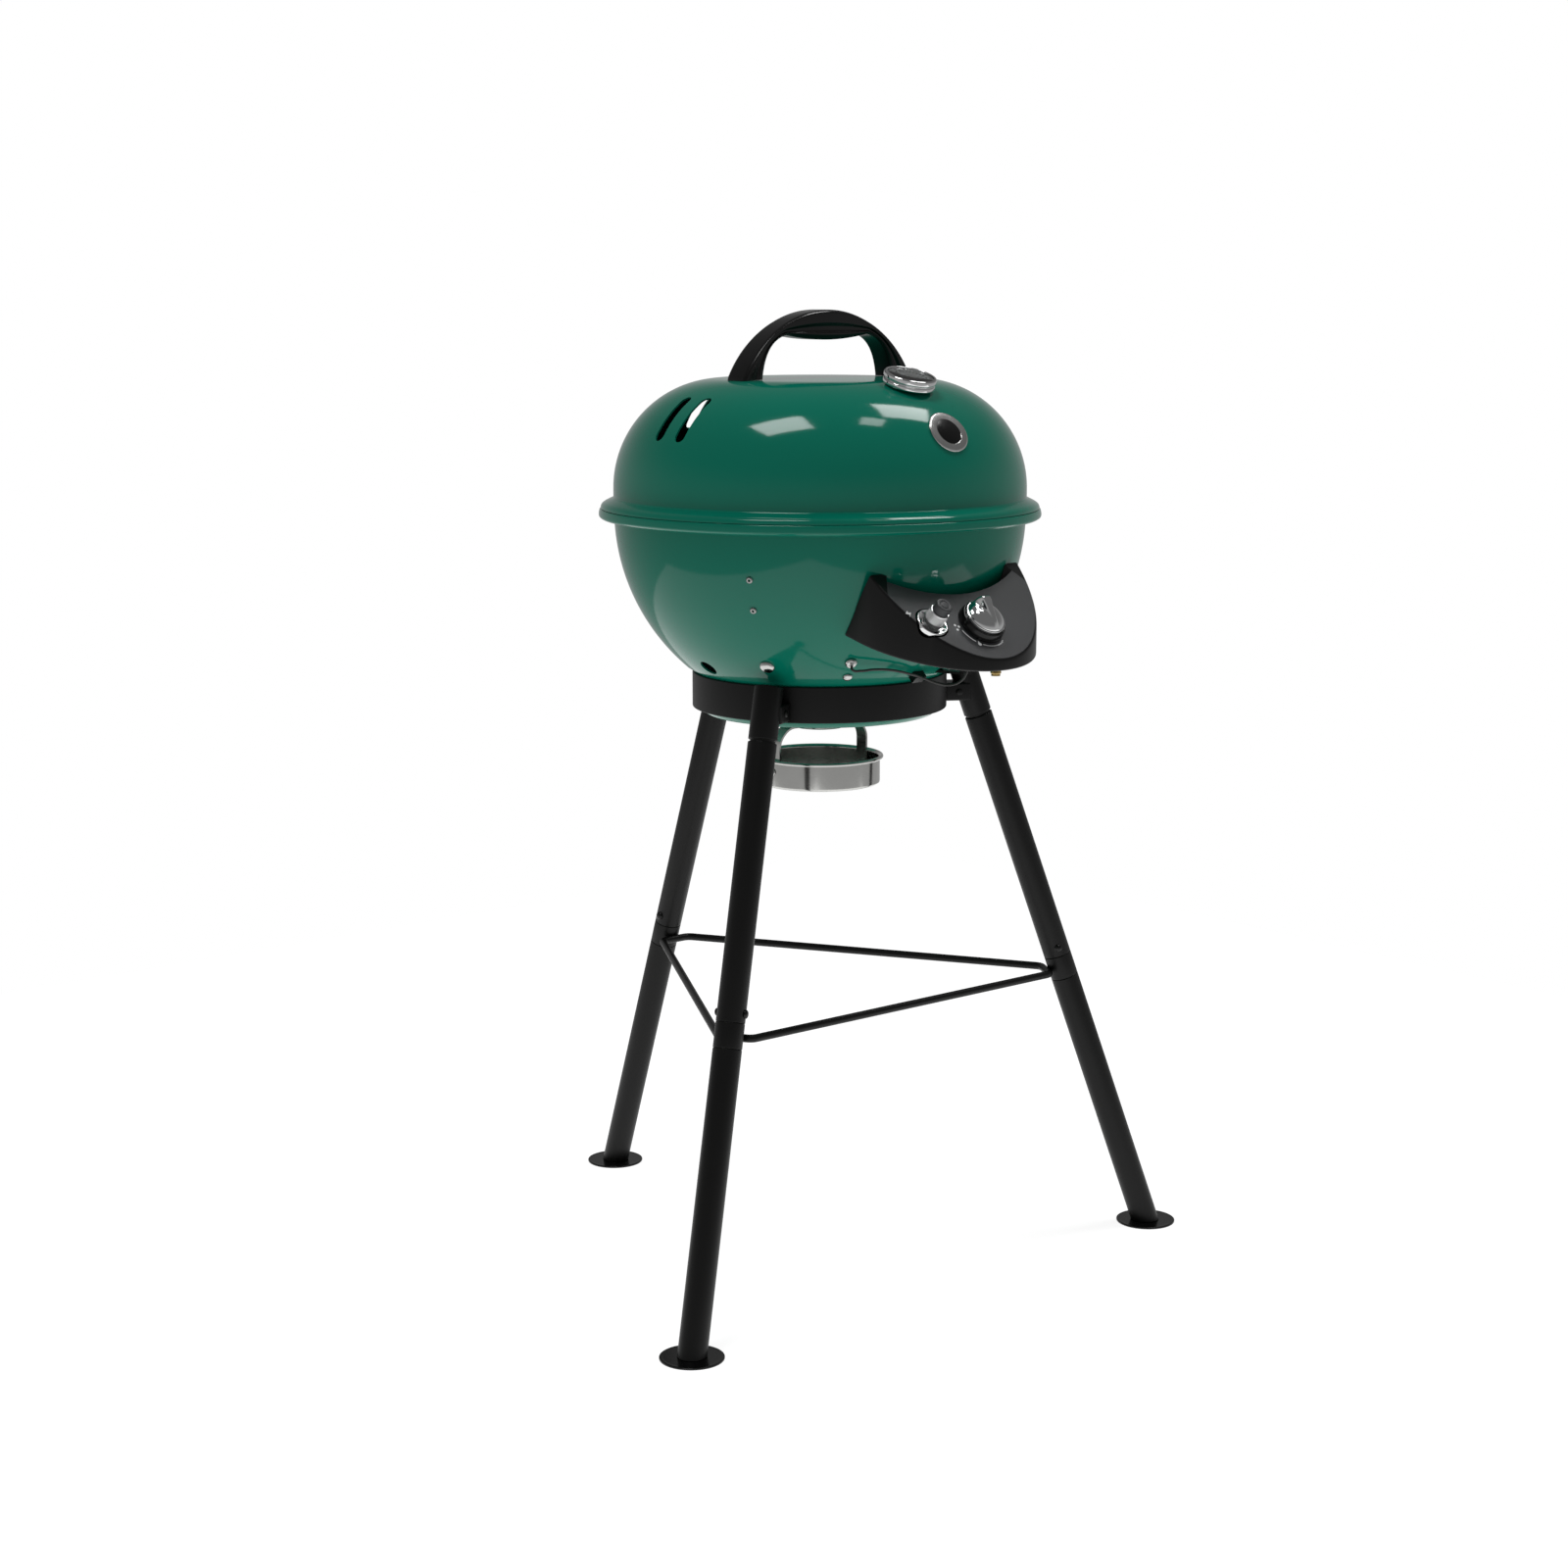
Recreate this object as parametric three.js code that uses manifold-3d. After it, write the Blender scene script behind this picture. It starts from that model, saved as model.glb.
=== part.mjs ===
// Kettle gas grill on a tripod: an enamelled bowl and lift-off lid, a ring burner under a heat
// funnel, a control box on the front of the bowl, and three splayed legs held by a tie ring.
// Millimetres, +Z up. The floor is z = 0 and the origin is under the middle of the whole grill.
import * as THREE from "three";
import { mergeVertices } from "three/addons/utils/BufferGeometryUtils.js";
import Module from "manifold-3d";

const wasm = await Module();
wasm.setup();

// ---------------------------------------------------------------- driving dimensions
const fitGap = 0.3; // clearance between pieces that touch
const roundSides = 36; // facets round the kettle
const insideSides = 24; // facets round the pieces inside and below it
const bowlSteps = 6; // facets down the side of the bowl
const lidSteps = 7; // facets over the shoulder of the lid

// kettle
const bowlRadius = 211.2;
const bowlCentreZ = 784; // height of the centre of the spherical bowl
const bowlWall = 1.8;
const sumpTopZ = 624; // the sphere ends here and the sump that the ring band carries begins
const sumpFloorZ = 575;
const sumpInset = 13.9; // from the band's outside in to where the sump's floor turns up
const sumpDrop = 7; // fall of the sump floor towards the drip hole
const dripHoleRadius = 24;
const rimWidth = 15.8; // the rolled rim stands this far outside the bowl
const rimHeight = 12;
const rimUnderZ = 774.7;
const airHoleRadius = 9.75;
const airHoleZ = 632.5;

// lid
const lidWall = 1.8;
const lidSkirtHeight = 19.5; // straight wall between the rim and the shoulder
const shoulderRadius = 111.5;
const crownRise = 0.9;
const lidLipWidth = 13.2;
const lidLipHeight = 10;
const slotWidth = 13.5;
const slotLength = 58;
const slotPitch = 31.6; // between the middles of the two slots of a pair
const slotOut = 79.7; // from the crown's edge to the middle of a slot

// lid handle
const handleRadius = 125; // outer arc of the arch
const handleHeight = 68; // from the crown to the top of the arch
const handleWidth = 31;
const handleBaseInner = 86;
const handleKneeX = 82; // control point of the inside of each side of the arch
const handleKneeZ = 38;
const gripCornerX = 54;
const gripCornerZ = 44;
const gripMiddleZ = 38.8;
const handleScrewRadius = 3;
const handleScrewHead = 7;

// thermometer and badge, both on the front centre line of the lid
const dialOut = 32.7; // from the crown's edge to the middle of the dial
const dialCaseRadius = 26.5;
const dialCaseHeight = 13;
const dialCaseWall = 3;
const dialStemRadius = 4.5;
const probeLength = 62;
const needleRest = 130; // from straight up to the cold end of the scale, anticlockwise
const badgeOut = 90.7;
const badgeRadius = 22.5;
const badgeThickness = 2.4;

// ring band that carries the bowl
const bandInset = 5.96; // from the bowl, where the sump begins, in to the band's outside
const bandWall = 2.5;
const bandBottomZ = 581.7;
const bandHeight = 36.4;
const bracketHeight = 18.5;
const bracketWidth = 33;
const bracketBottomZ = 584;

// legs
const legCount = 3;
const legAzimuths = [-150, -30, 90];
const legNames = ["left", "right", "rear"];
const footCircle = 365.2; // radius at which the leg axes meet the floor
const legRadius = 14.5;
const legWall = 1.5;
const legSides = 16;
const legTopZ = 620;
const legTopOut = 19.8; // from the band's outside to the leg's axis at its top
const topJointZ = 569.5; // lower end of a leg's top socket
const jointGap = 2.5; // bare spigot between a top socket and its upper tube
const stubTopZ = 305;
const stubBottomZ = 281;
const spigotLength = 30;
const spigotGap = 0.4;
const seamGap = 1;
const legScrewZ = 314;
const legScrewRadius = 2.4;
const footRadius = 31.7;
const footThickness = 2.2;
const footPlugLength = 28;

// tie ring
const tieRodRadius = 4;
const tieRingZ = 287.2;
const tieEndHalf = 17.9; // half of each short side, which is welded to a stub
const tieBendRadius = 10;

// cooking grate, heat funnel and their supports
const supportWidth = 18;
const supportThickness = 2.5;
const supportBottomZ = 692;
const supportTopZ = 748;
const funnelShelfZ = 708;
const shelfDepth = 13;
const rivetRadius = 2.6;
const rivetHeadRadius = 3.4;
const rivetHeights = [731.5, 700.9];
const grateInset = 12.2; // from the bowl's greatest radius to the grate's rim
const grateRimRadius = 3;
const grateBarRadius = 2;
const grateBarPitch = 28;
const funnelInset = 23.2;
const funnelMouthRadius = 62;
const funnelDrop = 34;
const funnelWall = 1.5;

// burner
const burnerRadius = 72;
const burnerTubeRadius = 8;
const burnerZ = 632;
const burnerArmWidth = 16;
const burnerArmThickness = 2.5;
const venturiRadius = 7.5;
const boltZ = 641.3;
const boltRadius = 3;
const boltHeadRadius = 7.6;
const boltHeadHeight = 5;
const electrodeAzimuth = -119.7;
const electrodeZ = 647;
const electrodeBoltZ = 630.5;

// control box
const boxHalfWidth = 99.7; // radius of the box's round front
const boxInset = 35.9; // the round front is centred this far inside the bowl's radius
const boxWall = 2.5;
const boxBowlGap = 1;
const panelTilt = THREE.MathUtils.degToRad(43.4);
const panelMiddleZ = 751.4; // height of the panel's plane over the middle of the round front
const panelThickness = 2.5;
const panelRearGap = 2.3; // between the panel's rear edge and the bowl
const boxFloorSlope = 0.249;
const boxFloorMiddleZ = 670.3;

// sheet hanger from the floor of the control box to the bowl
const hangerAzimuth = -72;
const hangerOut = 31.9; // from the bowl at the hanger's foot out to the hanger
const hangerFootZ = 626;
const hangerTopWidth = 44;
const hangerFootWidth = 12;
const hangerThickness = 2.5;
const hangerSkew = THREE.MathUtils.degToRad(-28); // turns the hanger to face the front more

// gas knob
const knobX = -3;
const knobOut = 67; // in front of the middle of the round front
const knobRadius = 21;
const knobRingHeight = 3.2; // chrome showing above the bezel before the dome begins
const knobBezelWidth = 3.5;
const knobBezelHeight = 8.8;
const knobTravel = 3.5;
const knobDomeHeight = 8;
const knobBladeWidth = 10;
const knobBladeHeight = 15;
const stemRadius = 4;
const valveRadius = 11;
const valveDepth = 26;
const valveDrop = 11; // the outlet leaves the valve this far below the panel

// igniter
const igniterX = -61.5;
const igniterOut = 61.2;
const dishRadius = 16.4;
const dishDepth = 7;
const dishRise = 1.5;
const barrelRadius = 10;
const barrelHeight = 17;
const buttonRadius = 8.3;
const buttonHeight = 9;
const buttonTravel = 4;
const piezoRadius = 8;
const piezoDepth = 30;

// drip cup
const cupRadius = 63.2;
const cupBottomZ = 500;
const cupHeight = 30;
const cupWall = 1.6;
const cupBeadRadius = 1.9;
const bailWidth = 15;
const bailThickness = 2;
const spoutLength = 9;
const bailGap = 0.67; // between the hanging part of the bail and the flats inside the cup

// ignition lead from the electrode round the bowl and up into the control box, as points of
// [azimuth, height, distance outside the bowl's sphere]
const leadRadius = 1.3;
const leadRoute = [
  [-116.6, 638.9, 13], [-112.2, 639.4, 10.6], [-106.9, 638.4, 9],
  [-100.9, 635.2, 9], [-95.2, 631, 9.4], [-90, 627.2, 9.4], [-85.5, 622.6, 16.7],
  [-82, 618.6, 27.2], [-79.3, 617, 37.2], [-77.5, 620.6, 41.6], [-76.9, 630, 37.7],
  [-76.8, 644, 26.3], [-76.8, 659, 14.6], [-76.8, 676, 3.3],
];

// ---------------------------------------------------------------- values worked out from them
const sumpTopReach = Math.sqrt(bowlRadius ** 2 - (sumpTopZ - bowlCentreZ) ** 2);
const bandRadius = sumpTopReach - bandInset;
const sumpFloorRadius = bandRadius - sumpInset;
const legLean = Math.atan((footCircle - bandRadius - legTopOut) / legTopZ);
const rimRadius = bowlRadius + rimWidth;
const lidRadius = bowlRadius + 2 * fitGap;
const lidLipRadius = lidRadius + lidLipWidth;
const grateRadius = bowlRadius - grateInset;
const funnelRadius = bowlRadius - funnelInset;
const panelRearRadius = bowlRadius + panelRearGap;
const boxFrontCentreY = boxInset - bowlRadius;
const knobY = boxFrontCentreY - knobOut;
const igniterY = boxFrontCentreY - igniterOut;
const lidBottomZ = rimUnderZ + rimHeight + fitGap;
const shoulderZ = lidBottomZ + lidSkirtHeight;
const crownZ = shoulderZ + shoulderRadius;
const crownRadius = lidRadius - shoulderRadius; // plan radius at which the shoulder meets the crown
const lidTopZ = crownZ + crownRise;
const slotReach = crownRadius + slotOut;
const panelSlope = Math.tan(panelTilt);
const panelZ = (y) => panelMiddleZ + panelSlope * (y - boxFrontCentreY);
const floorZ = (y) => boxFloorMiddleZ + boxFloorSlope * (y - boxFrontCentreY);
const boxFrontY = boxFrontCentreY - boxHalfWidth;
const tubeBore = legRadius - legWall;
const spigotRadius = tubeBore - spigotGap;
const knobBezelRadius = knobRadius + knobBezelWidth;
const bailReach = (cupRadius - cupWall) * Math.cos(Math.PI / insideSides)
  - bailThickness - bailGap;
const legPlanReach = (z) => footCircle - Math.tan(legLean) * z;
const rearMostY = footCircle + footRadius;

// ---------------------------------------------------------------- materials
const finish = (color, roughness, metalness) =>
  new THREE.MeshStandardMaterial({ color, roughness, metalness });
const greenEnamel = finish(0x0a6a54, 0.18, 0.0);
const blackPaint = finish(0x171716, 0.45, 0.1);
const blackPlastic = finish(0x151515, 0.25, 0.0);
const panelPlastic = finish(0x46484b, 0.5, 0.0);
const blackEnamel = finish(0x1b1b1c, 0.3, 0.1);
const polishedSteel = finish(0xb9b9b4, 0.2, 1.0);
const chromePlate = finish(0xd5d6d6, 0.08, 1.0);
const brass = finish(0xb08d4a, 0.35, 1.0);
const castIron = finish(0x2b2b2b, 0.7, 0.6);
const dialFace = finish(0xa9adab, 0.5, 0.0);
const clearGlass = finish(0xdfe6e6, 0.05, 0.0);
const ceramic = finish(0xe6e1d6, 0.5, 0.0);
const leadRubber = finish(0x2a2a28, 0.6, 0.0);

// ---------------------------------------------------------------- solid helpers
const kettle = new THREE.Group(); // its own frame has the kettle's axis at x = y = 0
kettle.position.y = -(rearMostY + boxFrontY) / 2;
const grill = new THREE.Group();
grill.add(kettle);

function signedVolume(vertices, triangles) {
  let volume = 0;
  const [a, b, c] = [new THREE.Vector3(), new THREE.Vector3(), new THREE.Vector3()];
  for (let i = 0; i < triangles.length; i += 3) {
    a.fromArray(vertices, 3 * triangles[i]);
    b.fromArray(vertices, 3 * triangles[i + 1]);
    c.fromArray(vertices, 3 * triangles[i + 2]);
    volume += a.dot(b.cross(c)) / 6;
  }
  return volume;
}

// a closed three.js geometry as a solid that can be joined and cut
function solid(geometry) {
  const bare = geometry.clone();
  bare.deleteAttribute("normal");
  bare.deleteAttribute("uv");
  const merged = mergeVertices(bare, 1e-4);
  const vertices = new Float32Array(merged.attributes.position.array);
  const triangles = [];
  const index = merged.index.array;
  for (let i = 0; i < index.length; i += 3) {
    const [p, q, r] = [index[i], index[i + 1], index[i + 2]];
    if (p !== q && q !== r && r !== p) triangles.push(p, q, r);
  }
  if (signedVolume(vertices, triangles) < 0) triangles.reverse();
  const triVerts = new Uint32Array(triangles);
  return new wasm.Manifold(new wasm.Mesh({ numProp: 3, vertProperties: vertices, triVerts }));
}

function geometryOf(body) {
  const mesh = body.simplify(0.02).getMesh();
  const geometry = new THREE.BufferGeometry();
  geometry.setAttribute("position", new THREE.BufferAttribute(mesh.vertProperties, 3));
  geometry.setIndex(new THREE.BufferAttribute(mesh.triVerts, 1));
  geometry.computeVertexNormals();
  return geometry;
}

function place(name, body, material, parent = kettle) {
  const mesh = new THREE.Mesh(geometryOf(body), material);
  mesh.name = name;
  parent.add(mesh);
  return mesh;
}

const join = (bodies) => bodies.reduce((whole, body) => whole.add(body));
const cut = (body, tools) => tools.reduce((rest, tool) => rest.subtract(tool), body);
const moved = (geometry, matrix) => geometry.clone().applyMatrix4(matrix);

// a turned piece about +Z from its outline of [radius, height] points
function turned(outline, sides = roundSides) {
  const points = outline.map(([radius, height]) => new THREE.Vector2(radius, height));
  return new THREE.LatheGeometry(points, sides).rotateX(Math.PI / 2);
}

// an outline whose ends are not on the axis, closed on itself
const turnedRing = (outline, sides = roundSides) => turned([...outline, outline[0]], sides);

function rod(radius, bottom, top, sides = 16) {
  return turned([[0, bottom], [radius, bottom], [radius, top], [0, top]], sides);
}

function pipe(outer, inner, bottom, top, sides = legSides) {
  return turnedRing([[inner, bottom], [outer, bottom], [outer, top], [inner, top]], sides);
}

function block(width, depth, height, x = 0, y = 0, z = 0) {
  return new THREE.BoxGeometry(width, depth, height).translate(x, y, z);
}

// points on an arc from one angle to another, in degrees, ends included
function arc(centreX, centreY, radius, from, to, steps) {
  return Array.from({ length: steps + 1 }, (_, i) => {
    const angle = THREE.MathUtils.degToRad(from + ((to - from) * i) / steps);
    return [centreX + radius * Math.cos(angle), centreY + radius * Math.sin(angle)];
  });
}

// a frame with its +Z along the given direction and its +X as level as possible
function frameAt(origin, direction) {
  const z = direction.clone().normalize();
  const level = Math.abs(z.z) > 0.999 ? new THREE.Vector3(0, 1, 0) : new THREE.Vector3(0, 0, 1);
  const x = new THREE.Vector3().crossVectors(level, z).normalize();
  const y = new THREE.Vector3().crossVectors(z, x);
  return new THREE.Matrix4().makeBasis(x, y, z).setPosition(origin);
}

const polar = (radius, azimuth, z) => {
  const angle = THREE.MathUtils.degToRad(azimuth);
  return new THREE.Vector3(radius * Math.cos(angle), radius * Math.sin(angle), z);
};

// outward direction of the bowl's sphere, and the frame on its outer face at a height
function bowlFrame(azimuth, z) {
  const reach = Math.sqrt(bowlRadius ** 2 - (z - bowlCentreZ) ** 2);
  const point = polar(reach, azimuth, z);
  return frameAt(point, point.clone().sub(new THREE.Vector3(0, 0, bowlCentreZ)));
}

// the frame on the lid's outer face at a plan radius
function lidFrame(azimuth, reach) {
  const rise = Math.sqrt(shoulderRadius ** 2 - (reach - crownRadius) ** 2);
  const point = polar(reach, azimuth, shoulderZ + rise);
  return frameAt(point, point.clone().sub(polar(crownRadius, azimuth, shoulderZ)));
}

function sweep(points, radius, sides, steps) {
  const section = new THREE.Shape(
    arc(0, 0, radius, 0, 360 - 360 / sides, sides - 1).map(([x, y]) => new THREE.Vector2(x, y)),
  );
  const path = new THREE.CatmullRomCurve3(points.map((p) => new THREE.Vector3(...p)));
  return new THREE.ExtrudeGeometry(section, { steps, extrudePath: path, bevelEnabled: false });
}

function plate(outline, thickness) {
  const shape = new THREE.Shape(outline.map(([x, y]) => new THREE.Vector2(x, y)));
  return new THREE.ExtrudeGeometry(shape, { depth: thickness, bevelEnabled: false });
}

// a domed screw head above z = 0 with its shank below
function domedScrew(headRadius, headHeight, shankRadius, shankLength) {
  const dome = arc(0, 0, 1, 0, 90, 3).map(([c, s]) => [headRadius * c, fitGap + headHeight * s]);
  return turned([[0, -shankLength], [shankRadius, -shankLength], [shankRadius, fitGap],
    ...dome.slice(0, -1), [0, fitGap + headHeight]], 12);
}

// ---------------------------------------------------------------- bowl and rim
const sumpShoulder = [bandRadius - bandWall - fitGap, bandBottomZ + bandHeight + 2 * fitGap];
const sumpKnuckle = [sumpFloorRadius + 7, sumpFloorZ + 6];

// the side of the bowl, or a surface at an even distance from it, from the sump up to the rim
function bowlArc(radius) {
  const start = THREE.MathUtils.radToDeg(Math.asin((sumpTopZ - bowlCentreZ) / bowlRadius));
  const end = THREE.MathUtils.radToDeg(Math.asin((rimUnderZ - bowlCentreZ) / bowlRadius));
  return arc(0, bowlCentreZ, radius, start, end, bowlSteps);
}

// everything inside a surface at an even distance from the side of the bowl
function bowlSpace(radius) {
  const side = bowlArc(radius);
  return solid(turned([[0, side[0][1]], ...side, [0, side[bowlSteps][1]]]));
}

function bowlOutline() {
  const innerRadius = bowlRadius - bowlWall;
  const outside = bowlArc(bowlRadius);
  const inside = bowlArc(innerRadius).reverse();
  const bead = rimHeight / 2;
  const rolledEdge = arc(rimRadius - bead, rimUnderZ + bead, bead, -60, 75, 3);
  return [
    [dripHoleRadius, sumpFloorZ - sumpDrop], [sumpFloorRadius, sumpFloorZ], sumpKnuckle,
    sumpShoulder, ...outside, [bowlRadius + 6, rimUnderZ + 0.5], ...rolledEdge,
    [innerRadius, rimUnderZ + rimHeight], ...inside, [sumpShoulder[0] - bowlWall, sumpShoulder[1]],
    [sumpKnuckle[0] - bowlWall, sumpKnuckle[1] + 1], [sumpFloorRadius, sumpFloorZ + bowlWall],
    [dripHoleRadius, sumpFloorZ - sumpDrop + bowlWall],
  ];
}

const wallHole = (azimuth, z, radius) =>
  solid(moved(rod(radius + fitGap, -12, 12, 8), bowlFrame(azimuth, z)));

function bowl() {
  const spout = pipe(dripHoleRadius + 2, dripHoleRadius, sumpFloorZ - sumpDrop - spoutLength,
    sumpFloorZ - sumpDrop + 1, roundSides);
  const airHoles = [0, 180].map((azimuth) =>
    solid(moved(rod(airHoleRadius, -12, 12, 16), bowlFrame(azimuth, airHoleZ))));
  const holes = legAzimuths.flatMap((azimuth) => [
    wallHole(azimuth, boltZ, boltRadius),
    ...rivetHeights.map((z) => wallHole(azimuth, z, rivetRadius)),
  ]);
  const venturi = moved(rod(venturiRadius + 1.5, -30, 30, 12),
    frameAt(new THREE.Vector3(knobX, boxFrontCentreY, valveCentre.z), new THREE.Vector3(0, -1, 0)));
  const shell = solid(turnedRing(bowlOutline())).add(solid(spout));
  return cut(shell, [...airHoles, ...holes, solid(venturi),
    wallHole(electrodeAzimuth, electrodeZ, 4), wallHole(electrodeAzimuth, electrodeBoltZ, 2.5)]);
}

// ---------------------------------------------------------------- lid
function lidOutline() {
  const lipTop = lidBottomZ + lidLipHeight;
  const inner = lidRadius - lidWall;
  return [
    [0, lidTopZ], [crownRadius / 2, crownZ + crownRise * 0.75],
    ...arc(crownRadius, shoulderZ, shoulderRadius, 90, 0, lidSteps), [lidRadius, lipTop + 1],
    [lidLipRadius - 4, lipTop - 4], [lidLipRadius, lipTop - 7.5], [lidLipRadius, lidBottomZ],
    [lidLipRadius - 2.5, lidBottomZ], [lidLipRadius - 5, lipTop - 6.5], [inner, lipTop - 1],
    ...arc(crownRadius, shoulderZ, shoulderRadius - lidWall, 0, 90, lidSteps),
    [crownRadius / 2, crownZ + crownRise * 0.75 - lidWall], [0, lidTopZ - lidWall],
  ];
}

// two round-ended vents side by side, cut square to the shoulder
function ventPair(azimuth) {
  const half = slotLength / 2 - slotWidth / 2;
  const outline = [...arc(0, half, slotWidth / 2, 0, 180, 4),
    ...arc(0, -half, slotWidth / 2, 180, 360, 4)];
  const chordZ = shoulderZ + Math.sqrt(shoulderRadius ** 2 - (slotReach - crownRadius) ** 2);
  return [-1, 1].map((side) => {
    const tool = plate(outline, 60).translate((side * slotPitch) / 2, 0, -30);
    const out = polar(1, azimuth, 1);
    return solid(moved(tool, frameAt(polar(slotReach, azimuth, chordZ), out)));
  });
}

const handleScrewX = (handleBaseInner + Math.sqrt(handleRadius ** 2
  - (handleRadius - handleHeight) ** 2)) / 2;
const dialFrame = lidFrame(-90, crownRadius + dialOut);
const badgeFrame = lidFrame(-90, crownRadius + badgeOut);

function lid() {
  const screwHoles = [-1, 1].map((side) =>
    solid(rod(handleScrewRadius + fitGap, crownZ - 20, crownZ + 20, 8)
      .translate(side * handleScrewX, 0, 0)));
  const stemHole = solid(moved(rod(dialStemRadius + fitGap, -12, 12, 12), dialFrame));
  const vents = [180, 0, 90].flatMap(ventPair);
  return cut(solid(turned(lidOutline())), [...vents, ...screwHoles, stemHole]);
}

// the arch is flat underneath where it stands on the crown; its grip is thicker in the middle
function handle() {
  const foot = crownRise + fitGap;
  const top = handleHeight + crownRise;
  const centre = top - handleRadius;
  const footAngle = THREE.MathUtils.radToDeg(Math.asin((foot - centre) / handleRadius));
  const shape = new THREE.Shape();
  shape.moveTo(handleBaseInner, foot);
  arc(0, centre, handleRadius, footAngle, 180 - footAngle, 18).forEach(([x, z]) =>
    shape.lineTo(x, z));
  shape.lineTo(-handleBaseInner, foot);
  const inner = new THREE.Path();
  inner.moveTo(-handleBaseInner, foot);
  inner.quadraticCurveTo(-handleKneeX, handleKneeZ, -gripCornerX, gripCornerZ);
  inner.quadraticCurveTo(0, 2 * gripMiddleZ - gripCornerZ, gripCornerX, gripCornerZ);
  inner.quadraticCurveTo(handleKneeX, handleKneeZ, handleBaseInner, foot);
  inner.getPoints(6).slice(1, -1).forEach((point) => shape.lineTo(point.x, point.y));
  const arch = new THREE.ExtrudeGeometry(shape, {
    depth: handleWidth - 4, bevelThickness: 2, bevelSize: 2, bevelOffset: -2, bevelSegments: 1,
    curveSegments: 8,
  });
  arch.translate(0, 0, -handleWidth / 2 + 2).rotateX(Math.PI / 2).translate(0, 0, crownZ);
  const bores = [-1, 1].map((side) => solid(rod(handleScrewRadius + fitGap, crownZ - 1,
    crownZ + 16, 12).translate(side * handleScrewX, 0, 0)));
  return cut(solid(arch), bores);
}

// the head lies under the first facet of the shoulder, which falls away from the crown
function handleScrew(side) {
  const beyondCrown = Math.max(0, handleScrewX + handleScrewHead - crownRadius);
  const fall = beyondCrown * Math.tan(Math.PI / 4 / lidSteps);
  const head = crownZ - lidWall - fall - fitGap;
  const outline = [[0, head - 4], [handleScrewHead, head - 4], [handleScrewHead, head],
    [handleScrewRadius, head],
    [handleScrewRadius, crownZ + 14], [0, crownZ + 14]];
  return solid(turned(outline, 12).translate(side * handleScrewX, 0, 0));
}

// ---------------------------------------------------------------- thermometer and badge
const dialFloor = dialCaseHeight - 7;

function thermometerCase() {
  const bezel = dialCaseRadius - dialCaseWall;
  return solid(turned([
    [0, fitGap], [dialCaseRadius - 2, fitGap], [dialCaseRadius - 0.5, 2], [dialCaseRadius - 0.5, 5.4],
    [dialCaseRadius - 1.6, 6.4], [dialCaseRadius, 7.4],
    [dialCaseRadius, dialCaseHeight - 1], [dialCaseRadius - 1, dialCaseHeight],
    [bezel, dialCaseHeight], [bezel, dialFloor], [0, dialFloor],
  ], 24));
}

function placeThermometer() {
  const group = new THREE.Group();
  group.applyMatrix4(dialFrame);
  kettle.add(group);
  const bore = dialCaseRadius - dialCaseWall - fitGap;
  const needleZ = dialFloor + 2;
  const needle = join([
    solid(rod(2, needleZ, needleZ + 1.2, 12)),
    solid(block(1.4, bore - 3, 0.8, 0, (bore - 3) / 2 - 3, needleZ + 0.6)
      .rotateZ(THREE.MathUtils.degToRad(needleRest))),
  ]);
  const nutTop = -lidWall - 6 * fitGap;
  const probe = join([
    solid(rod(dialStemRadius, -14, 0, 12)),
    solid(rod(2.4, -probeLength, -13, 8)),
    solid(rod(10, nutTop - 5, nutTop, 6)),
  ]);
  place("thermometer_case", thermometerCase(), chromePlate, group);
  place("thermometer_dial", solid(rod(bore, dialFloor + fitGap, dialFloor + 1.3, 24)), dialFace,
    group);
  place("thermometer_needle", needle, blackPlastic, group);
  place("thermometer_glass", solid(rod(bore, dialCaseHeight - 2.4, dialCaseHeight - 0.8, 24)),
    clearGlass, group);
  place("thermometer_probe", probe, polishedSteel, group);
}

// everything under a surface at an even distance above the lid
function lidSpace(offset) {
  const side = arc(crownRadius, shoulderZ, shoulderRadius + offset, 90, 0, lidSteps);
  return solid(turned([[0, lidTopZ + offset], ...side, [0, shoulderZ]]));
}

function placeBadge() {
  const disc = solid(moved(rod(badgeRadius, -6, 8, 24), badgeFrame));
  const sheet = lidSpace(badgeThickness).subtract(lidSpace(fitGap));
  place("lid_badge", disc.intersect(sheet), polishedSteel);
}

// ---------------------------------------------------------------- ring band
const legDirection = (azimuth) => {
  const inward = polar(-Math.sin(legLean), azimuth, 0);
  return inward.setZ(Math.cos(legLean));
};
// the frame of a leg: +Z up along the tube, its origin on the floor
const legFrame = (azimuth) => frameAt(polar(footCircle, azimuth, 0), legDirection(azimuth));
const alongLeg = (z) => z / Math.cos(legLean); // height above the floor to length along the tube

function ringBand() {
  const top = bandBottomZ + bandHeight;
  const inner = bandRadius - bandWall;
  const hoop = solid(turnedRing([[inner, bandBottomZ], [bandRadius - 2.2, bandBottomZ],
    [bandRadius, bandBottomZ + 3], [bandRadius, top], [inner, top]]));
  const brackets = legAzimuths.map((azimuth) => {
    const inside = inner + 0.8;
    const outside = legPlanReach(bracketBottomZ) - 3;
    const pad = block(outside - inside, bracketWidth, bracketHeight, (inside + outside) / 2, 0,
      bracketBottomZ + bracketHeight / 2).rotateZ(THREE.MathUtils.degToRad(azimuth));
    const seat = moved(rod(legRadius + fitGap, alongLeg(500), alongLeg(700), legSides),
      legFrame(azimuth));
    return solid(pad).subtract(solid(seat));
  });
  return join([hoop, ...brackets]);
}

// ---------------------------------------------------------------- legs and tie ring
// a tube between two heights, in the leg's frame
function legTube(bottomZ, topZ) {
  const [bottom, top] = [alongLeg(bottomZ), alongLeg(topZ)];
  return turnedRing([[tubeBore, bottom], [legRadius, bottom], [legRadius, top],
    [tubeBore, top]], legSides);
}

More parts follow.
